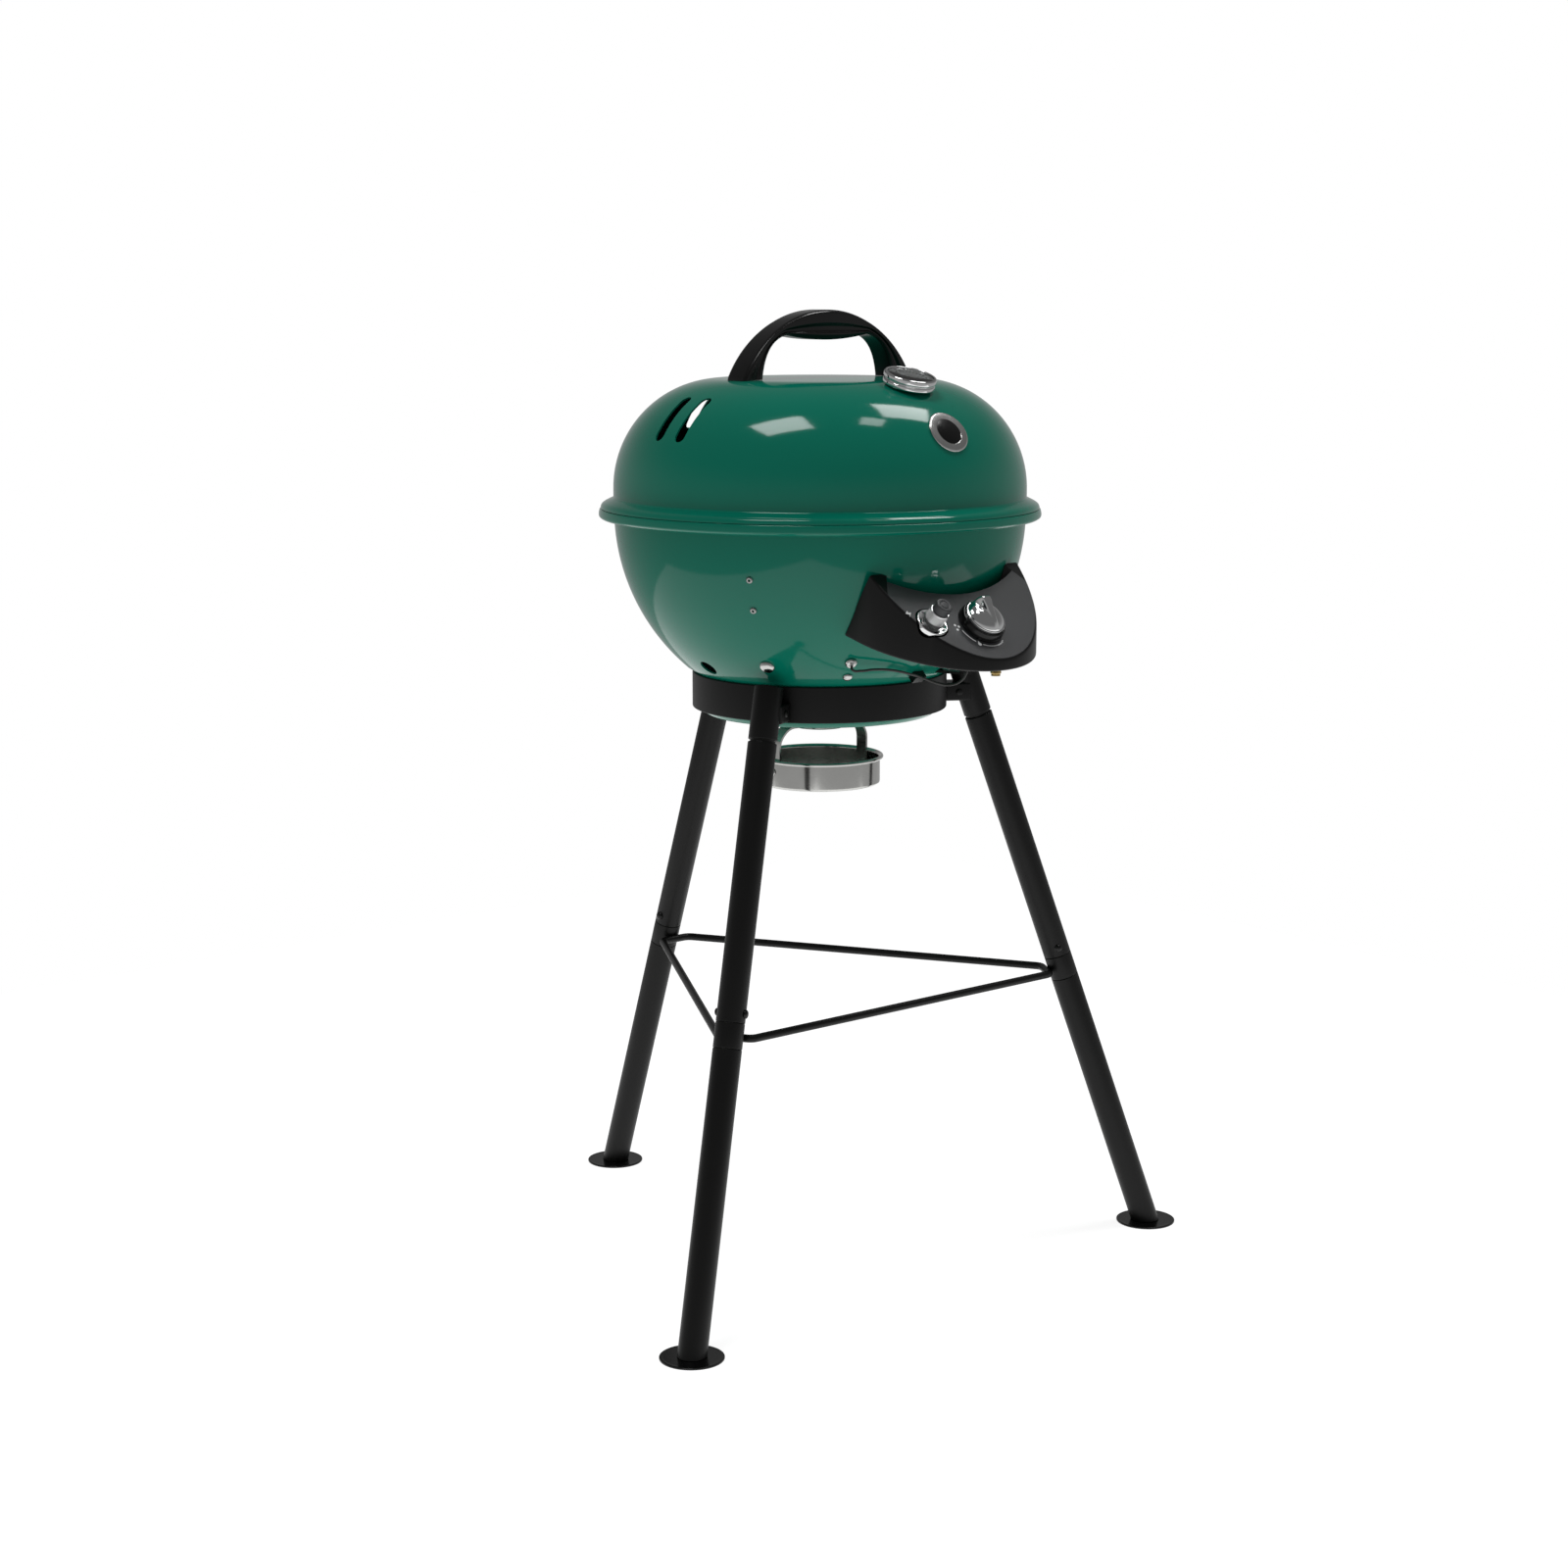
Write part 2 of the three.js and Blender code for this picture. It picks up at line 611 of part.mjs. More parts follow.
const screwBore = (radius) =>
  rod(radius, -legRadius - 8, legRadius + 8, 8).rotateY(Math.PI / 2)
    .translate(0, 0, alongLeg(legScrewZ));

function upperTube(azimuth) {
  const bore = solid(screwBore(legScrewRadius + fitGap));
  const tube = solid(legTube(stubTopZ + fitGap, topJointZ - jointGap)).subtract(bore);
  return tube.transform(legFrame(azimuth).elements);
}

function lowerTube(azimuth) {
  const tube = solid(moved(legTube(-20, stubBottomZ - fitGap), legFrame(azimuth)));
  const below = solid(block(2000, 2000, 100, 0, 0, footThickness + fitGap - 50));
  return tube.subtract(below);
}

function topSocket(azimuth) {
  const [bottom, top] = [alongLeg(topJointZ), alongLeg(legTopZ)];
  const outline = [[0, bottom - spigotLength], [spigotRadius, bottom - spigotLength],
    [spigotRadius, bottom + seamGap], [legRadius - seamGap, bottom],
    [legRadius, bottom + seamGap], [legRadius, top - 1.5], [legRadius - 1.5, top], [0, top]];
  return solid(moved(turned(outline, legSides), legFrame(azimuth)));
}

function foot(azimuth) {
  const disc = turned([[0, 0], [footRadius - 0.6, 0], [footRadius, 0.6],
    [footRadius, footThickness - 0.6], [footRadius - 0.8, footThickness], [0, footThickness]], 24);
  const plug = moved(rod(tubeBore - spigotGap, 0, footPlugLength, legSides), legFrame(azimuth));
  const centre = polar(footCircle, azimuth, 0);
  const below = solid(block(2000, 2000, 100, 0, 0, 0.4 - 50));
  return solid(plug).subtract(below).add(solid(disc.translate(...centre.toArray())));
}

function legScrew(azimuth) {
  const head = arc(0, 0, 1, 0, 90, 2).map(([c, s]) => [4.6 * c, legRadius + fitGap + 2.6 * s]);
  const nut = -legRadius - fitGap;
  const outline = [[0, nut - 2.6], [4.6, nut - 2.6], [4.6, nut], [legScrewRadius, nut],
    [legScrewRadius, legRadius + fitGap], ...head.slice(0, -1), [0, legRadius + fitGap + 2.6]];
  const screw = turned(outline, 8).rotateY(-Math.PI / 2).translate(0, 0, alongLeg(legScrewZ));
  return solid(moved(screw, legFrame(azimuth)));
}

// a closed rod of three long and three short sides, welded to a stub in each leg
function tieRing() {
  const shortReach = legPlanReach(tieRingZ) - legRadius / Math.cos(legLean) - tieRodRadius + 0.6;
  const corners = legAzimuths.slice().sort((a, b) => a - b).flatMap((azimuth) => {
    const middle = polar(shortReach, azimuth, tieRingZ);
    const side = polar(tieEndHalf, azimuth + 90, 0);
    return [middle.clone().sub(side), middle.clone().add(side)];
  });
  const path = new THREE.CurvePath();
  corners.forEach((corner, i) => {
    const before = corners[(i + corners.length - 1) % corners.length];
    const after = corners[(i + 1) % corners.length];
    const reach = tieBendRadius * Math.tan(Math.PI / 6);
    const start = corner.clone().lerp(before, reach / corner.distanceTo(before));
    const end = corner.clone().lerp(after, reach / corner.distanceTo(after));
    const nextStart = after.clone().lerp(corner, reach / corner.distanceTo(after));
    path.add(new THREE.QuadraticBezierCurve3(start, corner, end));
    path.add(new THREE.LineCurve3(end, nextStart));
  });
  const points = path.curves.flatMap((curve) =>
    curve.getPoints(curve.isLineCurve3 ? 1 : 3).slice(0, -1));
  return solid(closedRod(points, tieRodRadius, 8));
}

// a level closed rod through the given points, mitred at each of them
function closedRod(points, radius, sides) {
  const rings = points.map((point, i) => {
    const before = points[(i + points.length - 1) % points.length];
    const after = points[(i + 1) % points.length];
    const incoming = point.clone().sub(before).normalize();
    const tangent = incoming.clone().add(after.clone().sub(point).normalize()).normalize();
    const across = new THREE.Vector3(tangent.y, -tangent.x, 0);
    const stretch = 1 / tangent.dot(incoming);
    return arc(0, 0, radius, 0, 360 - 360 / sides, sides - 1).map(([u, v]) =>
      point.clone().addScaledVector(across, u * stretch).setZ(point.z + v));
  });
  const positions = rings.flat().flatMap((corner) => corner.toArray());
  const index = [];
  rings.forEach((_, i) => {
    const next = (i + 1) % rings.length;
    for (let k = 0; k < sides; k += 1) {
      const turn = (k + 1) % sides;
      const [a, b] = [i * sides + k, i * sides + turn];
      const [c, d] = [next * sides + k, next * sides + turn];
      index.push(a, b, c, b, d, c);
    }
  });
  const geometry = new THREE.BufferGeometry();
  geometry.setAttribute("position", new THREE.Float32BufferAttribute(positions, 3));
  geometry.setIndex(index);
  return geometry;
}

function tieFrame() {
  const [bottom, top] = [alongLeg(stubBottomZ), alongLeg(stubTopZ)];
  const stub = turned([[0, bottom - spigotLength], [spigotRadius, bottom - spigotLength],
    [spigotRadius, bottom + seamGap], [legRadius - seamGap, bottom],
    [legRadius, bottom + seamGap], [legRadius, top - seamGap], [legRadius - seamGap, top],
    [spigotRadius, top - seamGap], [spigotRadius, top + spigotLength], [0, top + spigotLength]],
  legSides);
  const stubs = legAzimuths.map((azimuth) => {
    const bore = solid(moved(screwBore(legScrewRadius + fitGap), legFrame(azimuth)));
    return solid(moved(stub, legFrame(azimuth))).subtract(bore);
  });
  return join([tieRing(), ...stubs]);
}

// ---------------------------------------------------------------- inside the kettle
// a strip that follows the wall with two shelves, held by two rivets through the wall
function grateSupport(azimuth) {
  const outer = bowlRadius - bowlWall - fitGap;
  const strip = bowlSpace(outer).subtract(bowlSpace(outer - supportThickness));
  const shelves = [funnelShelfZ, supportTopZ].map((z) => {
    const edge = Math.sqrt(outer ** 2 - (z - bowlCentreZ) ** 2) - 2;
    return solid(block(shelfDepth, supportWidth, supportThickness, edge - shelfDepth / 2, 0,
      z - supportThickness / 2));
  });
  const slab = solid(block(400, supportWidth, supportTopZ - supportBottomZ, 200, 0,
    (supportTopZ + supportBottomZ) / 2));
  const turn = new THREE.Matrix4().makeRotationZ(THREE.MathUtils.degToRad(azimuth));
  const rivets = rivetHeights.map((z) => solid(moved(
    domedScrew(rivetHeadRadius, 1.8, rivetRadius, bowlWall + 2.4 * fitGap + 1),
    bowlFrame(azimuth, z))));
  const bracket = join([strip.intersect(slab), ...shelves]).transform(turn.elements);
  return join([bracket, ...rivets]);
}

function cookingGrate() {
  const z = supportTopZ + fitGap + grateRimRadius;
  const rim = solid(turnedRing(arc(grateRadius - grateRimRadius, z, grateRimRadius, 0, 270, 3),
    insideSides));
  const count = Math.floor((grateRadius - 8) / grateBarPitch);
  const barLength = (offset) => Math.sqrt((grateRadius - grateRimRadius) ** 2 - offset ** 2);
  const bars = Array.from({ length: 2 * count + 1 }, (_, i) => {
    const offset = (i - count) * grateBarPitch;
    const half = barLength(offset);
    return solid(rod(grateBarRadius, -half, half, 4).rotateX(Math.PI / 2)
      .translate(offset, 0, z + grateBarRadius));
  });
  const ties = [-80, 80].map((offset) => solid(rod(grateBarRadius + 0.5, -barLength(offset),
    barLength(offset), 6).rotateY(Math.PI / 2).translate(0, offset, z - 1)));
  return join([rim, ...ties, ...bars]);
}

// a sheet cone open at its mouth, with a turned-down rim that rests on the lower shelves
function heatFunnel() {
  const top = funnelShelfZ + fitGap + funnelWall;
  const low = top - funnelDrop;
  return solid(turnedRing([
    [funnelRadius, top - funnelWall], [funnelRadius, top], [funnelRadius - 14, top],
    [funnelMouthRadius, low], [funnelMouthRadius, low - funnelWall],
    [funnelMouthRadius + 2, low - funnelWall], [funnelRadius - 14, top - funnelWall],
  ], insideSides));
}

function ringBurner() {
  const ring = solid(new THREE.TorusGeometry(burnerRadius, burnerTubeRadius, 6, insideSides)
    .translate(0, 0, burnerZ));
  const inner = bowlRadius - bowlWall - fitGap;
  const arms = legAzimuths.map((azimuth) => {
    const reach = Math.sqrt(inner ** 2 - (boltZ - bowlCentreZ) ** 2) + 2;
    const arm = block(reach - burnerRadius, burnerArmWidth, burnerArmThickness,
      (reach + burnerRadius) / 2, 0, burnerZ);
    const tab = block(20, burnerArmWidth, 24, reach - 1, 0, boltZ - 1);
    const turn = new THREE.Matrix4().makeRotationZ(THREE.MathUtils.degToRad(azimuth));
    const trim = bowlSpace(inner);
    const flat = solid(arm).intersect(trim);
    const curved = solid(tab).intersect(trim).subtract(bowlSpace(inner - burnerArmThickness));
    const hole = solid(moved(rod(boltRadius + fitGap, -20, 12, 8), bowlFrame(azimuth, boltZ)));
    return join([flat, curved]).transform(turn.elements).subtract(hole);
  });
  const socketCentre = new THREE.Vector3(knobX, -burnerRadius, burnerZ);
  const socket = solid(moved(rod(venturiRadius + 2.5, 0, 16, 12),
    frameAt(socketCentre, new THREE.Vector3(0, -1, 0))));
  const bore = solid(moved(rod(venturiRadius + 2 * fitGap, 9, 30, 12),
    frameAt(socketCentre, new THREE.Vector3(0, -1, 0))));
  return join([ring, socket, ...arms]).subtract(bore);
}

// ---------------------------------------------------------------- control box
// the plan of the box: a round front with straight sides that run back to the bowl
function boxPlan(inset) {
  const radius = boxHalfWidth - inset;
  return [...arc(0, boxFrontCentreY, radius, 180, 360, 20),
    [radius, boxFrontCentreY + 75], [-radius, boxFrontCentreY + 75]];
}

// everything under the tilted panel's outer face, moved down along the panel's normal
function underPanel(depth) {
  const slab = block(800, 800, 400, 0, 0, -200 - depth).rotateX(panelTilt);
  return solid(slab.translate(0, boxFrontCentreY, panelMiddleZ));
}

function aboveFloor(rise) {
  const slab = block(800, 800, 400, 0, 0, 200 + rise).rotateX(Math.atan(boxFloorSlope));
  return solid(slab.translate(0, boxFrontCentreY, boxFloorMiddleZ));
}

const column = (inset) => solid(plate(boxPlan(inset), 200).translate(0, 0, 550));
const igniterWell = (radius, depth) =>
  moved(rod(radius, -depth, 20, 20), panelFrame(igniterX, igniterY));

function panelFrame(x, y) {
  const tilt = new THREE.Matrix4().makeRotationX(panelTilt);
  return tilt.setPosition(x, y, panelZ(y));
}

function controlBox() {
  const outside = column(0).intersect(underPanel(panelThickness + fitGap)).intersect(aboveFloor(0));
  const hollow = column(boxWall).intersect(aboveFloor(boxWall));
  const leadHole = rod(leadRadius + 1.2, 600, 700, 12);
  const leadEnd = leadPath[leadPath.length - 1];
  const inletHole = rod(inletRadius + fitGap, 600, 720, 16);
  const openTop = solid(turnedRing([[panelRearRadius, 600], [panelRearRadius, 900],
    [100, 900], [100, 600]])).intersect(aboveFloor(40));
  return cut(outside, [hollow, bowlSpace(bowlRadius + boxBowlGap), openTop.intersect(column(boxWall)),
    solid(igniterWell(dishRadius + 1.6, dishDepth + 2)),
    solid(leadHole.translate(leadEnd[0], leadEnd[1], 0)),
    solid(inletHole.translate(inletX, inletY, 0))]);
}

function controlPanel() {
  const skin = column(0).intersect(underPanel(0)).subtract(underPanel(panelThickness));
  const rear = solid(rod(panelRearRadius, 500, 1000, roundSides));
  const stemHole = moved(rod(stemRadius + 1, -10, 10, 16), panelFrame(knobX, knobY));
  return cut(skin, [rear, solid(igniterWell(dishRadius + 1.6, 20)), solid(stemHole)]);
}

// ---------------------------------------------------------------- gas knob and valve
const valveCentre = new THREE.Vector3(knobX, 0, 0)
  .setY(knobY + Math.sin(panelTilt) * valveDrop)
  .setZ(panelZ(knobY) - Math.cos(panelTilt) * valveDrop);
const inletRadius = 6;
const inletX = 28;
const inletY = valveCentre.y + 2;

function gasValve() {
  const barrel = moved(rod(valveRadius, -valveDepth, -panelThickness - 4, 20),
    panelFrame(knobX, knobY));
  const spindleBore = moved(rod(stemRadius + fitGap, -17, 0, 16), panelFrame(knobX, knobY));
  const outlet = moved(rod(venturiRadius - 2.5, 0, 42, 16),
    frameAt(valveCentre, new THREE.Vector3(0, 1, 0)));
  const inletArm = moved(rod(inletRadius, 0, inletX - knobX, 16),
    frameAt(new THREE.Vector3(knobX, inletY, valveCentre.z), new THREE.Vector3(1, 0, 0)));
  const bossTop = valveCentre.z + inletRadius;
  const boss = rod(inletRadius + 2, valveCentre.z - inletRadius - 2, bossTop, 16)
    .translate(inletX, inletY, 0);
  return join([solid(barrel), solid(outlet), solid(inletArm), solid(boss)])
    .subtract(solid(spindleBore));
}

function gasInlet() {
  const top = valveCentre.z - inletRadius - 2 - fitGap;
  const tip = floorZ(inletY) - 22;
  return solid(turned([[0, tip], [inletRadius - 1.5, tip], [inletRadius - 1.5, tip + 2],
    [inletRadius - 0.5, tip + 3], [inletRadius - 1.5, tip + 8], [inletRadius - 0.5, tip + 9],
    [inletRadius - 1.5, tip + 14], [inletRadius, tip + 15], [inletRadius, top], [0, top]], 16)
    .translate(inletX, inletY, 0));
}

function venturiTube() {
  const start = [knobX, valveCentre.y + 42 + fitGap + 1, valveCentre.z];
  const end = [knobX, -burnerRadius - 10, burnerZ];
  const inside = boxFrontCentreY + 8;
  const route = [start, [knobX, inside, valveCentre.z], [knobX, inside + 28, valveCentre.z - 15],
    [knobX, -burnerRadius - 38, burnerZ + 5], [knobX, -burnerRadius - 22, burnerZ], end];
  return solid(sweep(route, venturiRadius, 10, 12));
}

// the stem turns in the valve; the knob turns with it and is pushed down it into the fixed bezel
function placeKnob() {
  const group = new THREE.Group();
  group.applyMatrix4(panelFrame(knobX, knobY));
  kettle.add(group);
  const well = knobRadius + fitGap;
  const under = knobTravel + 2 * fitGap;
  const rim = knobBezelHeight + knobRingHeight;
  const bezel = turnedRing([[well, fitGap], [knobBezelRadius, fitGap],
    [knobBezelRadius, knobBezelHeight - 2], [knobBezelRadius - 2, knobBezelHeight],
    [well, knobBezelHeight]], 24);
  const dome = arc(0, 0, 1, 0, 90, 3).map(([c, s]) =>
    [(knobRadius - 2) * c, rim + knobDomeHeight * s]);
  const cap = solid(turned([[0, under], [knobRadius, under], [knobRadius, rim],
    ...dome.slice(0, -1), [0, rim + knobDomeHeight]], 24));
  const blade = solid(block(knobBladeWidth, 2 * knobRadius - 4, knobBladeHeight, 0, 0,
    rim + knobBladeHeight / 2));
  const bladeTrim = solid(new THREE.SphereGeometry(knobRadius - 1, 16, 10)
    .scale(1, 1, (knobBladeHeight + 4) / knobRadius).translate(0, 0, rim - 1));
  const stemTop = rim + 1;
  const socket = solid(rod(stemRadius + fitGap, 0, stemTop + knobTravel + fitGap, 16));
  place("knob_bezel", solid(bezel), blackPlastic, group);
  place("gas_knob", cap.add(blade.intersect(bladeTrim)).subtract(socket), chromePlate, group);
  place("knob_stem", solid(rod(stemRadius, -12, stemTop, 16)), polishedSteel, group);
}

// ---------------------------------------------------------------- igniter
function placeIgniter() {
  const group = new THREE.Group();
  group.applyMatrix4(panelFrame(igniterX, igniterY));
  kettle.add(group);
  const bore = barrelRadius + fitGap;
  const dish = turnedRing([[bore, -dishDepth], [dishRadius - 3, -dishDepth],
    [dishRadius, -dishDepth + 3], [dishRadius, dishRise - 0.8], [dishRadius - 0.8, dishRise],
    [dishRadius - 2, dishRise - 0.4], [bore + 1, -dishDepth + 3.5], [bore, -dishDepth + 3.5]], 24);
  const well = buttonRadius + fitGap;
  const ribs = Array.from({ length: 12 }, (_, i) =>
    solid(block(1.2, 1.8, barrelHeight - 3, barrelRadius - 0.5, 0, barrelHeight / 2 - 0.5)
      .rotateZ((i * Math.PI) / 6)));
  const sleeve = solid(turnedRing([[well, -dishDepth], [barrelRadius - 0.7, -dishDepth],
    [barrelRadius - 0.7, barrelHeight - 2], [barrelRadius, barrelHeight - 1.5],
    [barrelRadius - 0.6, barrelHeight], [well, barrelHeight]], 24));
  const button = solid(turned([[0, barrelHeight - 12], [buttonRadius, barrelHeight - 12],
    [buttonRadius, barrelHeight + buttonHeight - 1.5],
    [buttonRadius - 1.5, barrelHeight + buttonHeight],
    [0, barrelHeight + buttonHeight]], 20));
  const piezoTop = barrelHeight - 12 - buttonTravel - fitGap;
  const piezo = solid(turned([[0, -piezoDepth], [3, -piezoDepth], [3, -piezoDepth + 6],
    [piezoRadius, -piezoDepth + 6], [piezoRadius, piezoTop], [0, piezoTop]], 20));
  place("igniter_dish", solid(dish), chromePlate, group);
  place("igniter_barrel", join([sleeve, ...ribs]), chromePlate, group);
  place("igniter_button", button, blackPlastic, group);
  place("igniter_piezo", piezo, blackPlastic, group);
}

// ---------------------------------------------------------------- electrode, lead and bracket
function electrode() {
  const frame = bowlFrame(electrodeAzimuth, electrodeZ);
  const head = solid(moved(rod(6, fitGap, 4, 6), frame));
  const neck = solid(moved(rod(3.4, -26, fitGap + 1, 14), frame));
  const tip = solid(moved(rod(1.2, -52, -25, 8), frame));
  const terminal = solid(moved(rod(1.8, 3.5, terminalTop, 10), frame));
  return join([head, neck, tip, terminal]);
}

function burnerBolt() {
  return solid(moved(domedScrew(5, 3.2, 2.5, 9), bowlFrame(electrodeAzimuth, electrodeBoltZ)));
}

// the lead's middle line, from the end of the electrode's terminal
const terminalTop = 5.5;
const leadPath = [
  ...[fitGap, 4.5].map((out) => new THREE.Vector3(0, 0, terminalTop + out).applyMatrix4(
    bowlFrame(electrodeAzimuth, electrodeZ)).toArray()),
  ...leadRoute.map(([azimuth, z, out]) => {
    const reach = Math.sqrt(bowlRadius ** 2 - (z - bowlCentreZ) ** 2) + out;
    return polar(reach, azimuth, z).toArray();
  }),
];

function ignitionLead() {
  return solid(sweep(leadPath, leadRadius, 8, 40));
}

function leadClip() {
  const frame = bowlFrame(-88.4, 628.6);
  const pad = solid(moved(block(14, 9, 7.4, 0, 0, 3.7 + fitGap), frame));
  const tunnel = solid(sweep(leadPath, leadRadius + fitGap, 8, 40));
  return pad.subtract(tunnel);
}

// a sheet hanger from the box floor down to a foot on the bowl
function boxBracket() {
  const reach = Math.sqrt(bowlRadius ** 2 - (hangerFootZ - bowlCentreZ) ** 2) + hangerOut;
  const topZ = floorZ(polar(reach, hangerAzimuth, 0).y) - hangerThickness;
  const top = hangerTopWidth / 2;
  const foot = hangerFootWidth / 2;
  const outline = [[-top, topZ], [top, topZ], [foot, hangerFootZ], [-foot, hangerFootZ]];
  const sheet = plate(outline, hangerThickness).rotateX(Math.PI / 2)
    .rotateZ(Math.PI / 2 + hangerSkew).translate(reach, 0, 0);
  const strap = block(hangerOut + 4, hangerFootWidth, hangerThickness,
    reach - hangerOut / 2 - 1, 0, hangerFootZ + hangerThickness / 2);
  const turn = new THREE.Matrix4().makeRotationZ(THREE.MathUtils.degToRad(hangerAzimuth));
  return join([solid(sheet), solid(strap)]).transform(turn.elements)
    .subtract(bowlSpace(bowlRadius + 2 * fitGap));
}

// ---------------------------------------------------------------- drip cup
function dripCup() {
  const rim = cupBottomZ + cupHeight;
  const bead = arc(cupRadius + cupBeadRadius - 0.4, rim - cupBeadRadius, cupBeadRadius, -110, 90, 3);
  const cup = solid(turned([[0, cupBottomZ], [cupRadius - 3, cupBottomZ],
    [cupRadius, cupBottomZ + 3], [cupRadius, rim - 2 * cupBeadRadius], ...bead,
    [cupRadius - cupWall, rim], [cupRadius - cupWall, cupBottomZ + 4],
    [cupRadius - 4, cupBottomZ + cupWall], [0, cupBottomZ + cupWall]], insideSides));
  const holes = [0, 180].map((azimuth) => solid(moved(rod(2.3, -8, 8, 8), cupScrewFrame(azimuth))));
  return cut(cup, holes);
}

const cupScrewFrame = (azimuth) =>
  frameAt(polar(cupRadius, azimuth, cupBottomZ + 17), polar(1, azimuth, 0));

// one bent strap: two hanging ends screwed inside the cup, and an eye that grips the spout
function cupBail() {
  const eyeZ = sumpFloorZ - sumpDrop - spoutLength + 2;
  const low = cupBottomZ + 8;
  const half = bailThickness / 2;
  const side = [[bailReach, low], [bailReach, eyeZ - 18], [bailReach - 4, eyeZ - 6],
    [bailReach - 14, eyeZ]];
  const outer = [[bailReach + bailThickness, low], [bailReach + bailThickness, eyeZ - 17],
    [bailReach - 3, eyeZ - 4], [bailReach - 13, eyeZ + bailThickness]];
  const mirrored = (points) => points.map(([x, z]) => [-x, z]).reverse();
  const outline = [...outer, ...mirrored(outer), ...mirrored(side).reverse(), ...side.slice().reverse()];
  const strap = plate(outline, bailWidth).rotateX(Math.PI / 2).translate(0, bailWidth / 2, 0);
  const spout = dripHoleRadius + 2;
  const eye = solid(rod(spout + 8, eyeZ, eyeZ + bailThickness, roundSides));
  const grip = solid(rod(spout + fitGap, eyeZ - 5, eyeZ + 5, roundSides));
  const holes = [0, 180].map((azimuth) => solid(moved(rod(2.3, -8, 8, 8), cupScrewFrame(azimuth))));
  return cut(join([solid(strap), eye]), [grip, ...holes]);
}

function cupScrew(azimuth) {
  return solid(moved(domedScrew(4.2, 2.2, 2, cupWall + bailThickness + 2.4),
    cupScrewFrame(azimuth)));
}

// ---------------------------------------------------------------- the whole grill
place("bowl", bowl(), greenEnamel);
place("ring_band", ringBand(), blackPaint);
place("tie_ring", tieFrame(), blackPaint);
legAzimuths.slice(0, legCount).forEach((azimuth, i) => {
  const name = legNames[i];
  place(`leg_top_${name}`, topSocket(azimuth), blackPaint);
  place(`leg_upper_${name}`, upperTube(azimuth), blackPaint);
  place(`leg_lower_${name}`, lowerTube(azimuth), blackPaint);
  place(`leg_foot_${name}`, foot(azimuth), blackPlastic);
  place(`leg_screw_${name}`, legScrew(azimuth), blackPaint);
  place(`bowl_bolt_${name}`, solid(moved(domedScrew(boltHeadRadius, boltHeadHeight, boltRadius,
    11), bowlFrame(azimuth, boltZ))), polishedSteel);
  place(`grate_support_${name}`, grateSupport(azimuth), polishedSteel);
});
place("cooking_grate", cookingGrate(), castIron);
place("heat_funnel", heatFunnel(), blackEnamel);
place("ring_burner", ringBurner(), polishedSteel);
place("venturi_tube", venturiTube(), polishedSteel);
place("electrode", electrode(), ceramic);
place("burner_bolt", burnerBolt(), polishedSteel);
place("ignition_lead", ignitionLead(), leadRubber);
place("lead_clip", leadClip(), blackPlastic);
place("control_box", controlBox(), blackPlastic);
place("control_panel", controlPanel(), panelPlastic);
place("box_bracket", boxBracket(), blackPaint);
place("gas_valve", gasValve(), brass);
place("gas_inlet", gasInlet(), brass);
placeKnob();
placeIgniter();
place("lid", lid(), greenEnamel);
place("lid_handle", handle(), blackPlastic);
place("handle_screw_left", handleScrew(-1), polishedSteel);
place("handle_screw_right", handleScrew(1), polishedSteel);
placeThermometer();
placeBadge();
place("drip_cup", dripCup(), polishedSteel);
place("cup_bail", cupBail(), polishedSteel);
place("cup_screw_left", cupScrew(180), polishedSteel);
place("cup_screw_right", cupScrew(0), polishedSteel);

export default grill;
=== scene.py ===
"""A kettle gas grill on a tripod of splayed tube legs."""
import math

import bmesh
import bpy
from mathutils import Euler, Matrix, Vector


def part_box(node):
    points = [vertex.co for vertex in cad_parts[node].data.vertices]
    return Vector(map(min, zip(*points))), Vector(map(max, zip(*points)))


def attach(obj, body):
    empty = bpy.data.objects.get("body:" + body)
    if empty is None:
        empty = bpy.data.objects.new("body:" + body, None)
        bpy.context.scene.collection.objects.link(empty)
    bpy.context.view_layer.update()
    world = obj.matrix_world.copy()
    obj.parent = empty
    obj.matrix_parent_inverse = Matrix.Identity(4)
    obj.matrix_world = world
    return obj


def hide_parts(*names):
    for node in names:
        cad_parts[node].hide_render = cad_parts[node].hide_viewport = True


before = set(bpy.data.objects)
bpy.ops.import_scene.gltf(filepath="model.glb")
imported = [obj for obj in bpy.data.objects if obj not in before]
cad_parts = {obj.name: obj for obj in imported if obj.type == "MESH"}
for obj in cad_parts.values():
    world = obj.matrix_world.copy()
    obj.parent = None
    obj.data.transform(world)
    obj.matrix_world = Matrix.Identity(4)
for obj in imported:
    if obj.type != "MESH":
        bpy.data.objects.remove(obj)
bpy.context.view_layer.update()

# ---------------------------------------------------------------- where the kettle stands
# The lid, the bowl and the ring band are turned about one upright axis. It stands behind the
# middle of the frame because the control box reaches out in front.
lid_low, lid_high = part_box("lid")
kettle_y = (lid_low[1] + lid_high[1]) / 2
axis = Matrix.Translation((0, kettle_y, 0))
mm = 0.001


def polar(radius, azimuth, height):
    """A point round the kettle's axis, with the azimuth in degrees from +X."""
    angle = math.radians(azimuth)
    return Vector((radius * math.cos(angle), radius * math.sin(angle) + kettle_y, height))


def outward(azimuth):
    """The level direction straight out from the kettle's axis."""
    return Vector((math.cos(math.radians(azimuth)), math.sin(math.radians(azimuth)), 0))


def facing(point, direction):
    """A frame at the point with its Z along the direction and its X as level as it can be."""
    z = Vector(direction).normalized()
    level = Vector((0, 1, 0)) if abs(z.z) > 0.999 else Vector((0, 0, 1))
    x = level.cross(z).normalized()
    y = z.cross(x)
    turn = Matrix((x, y, z)).transposed().to_4x4()
    return Matrix.Translation(point) @ turn


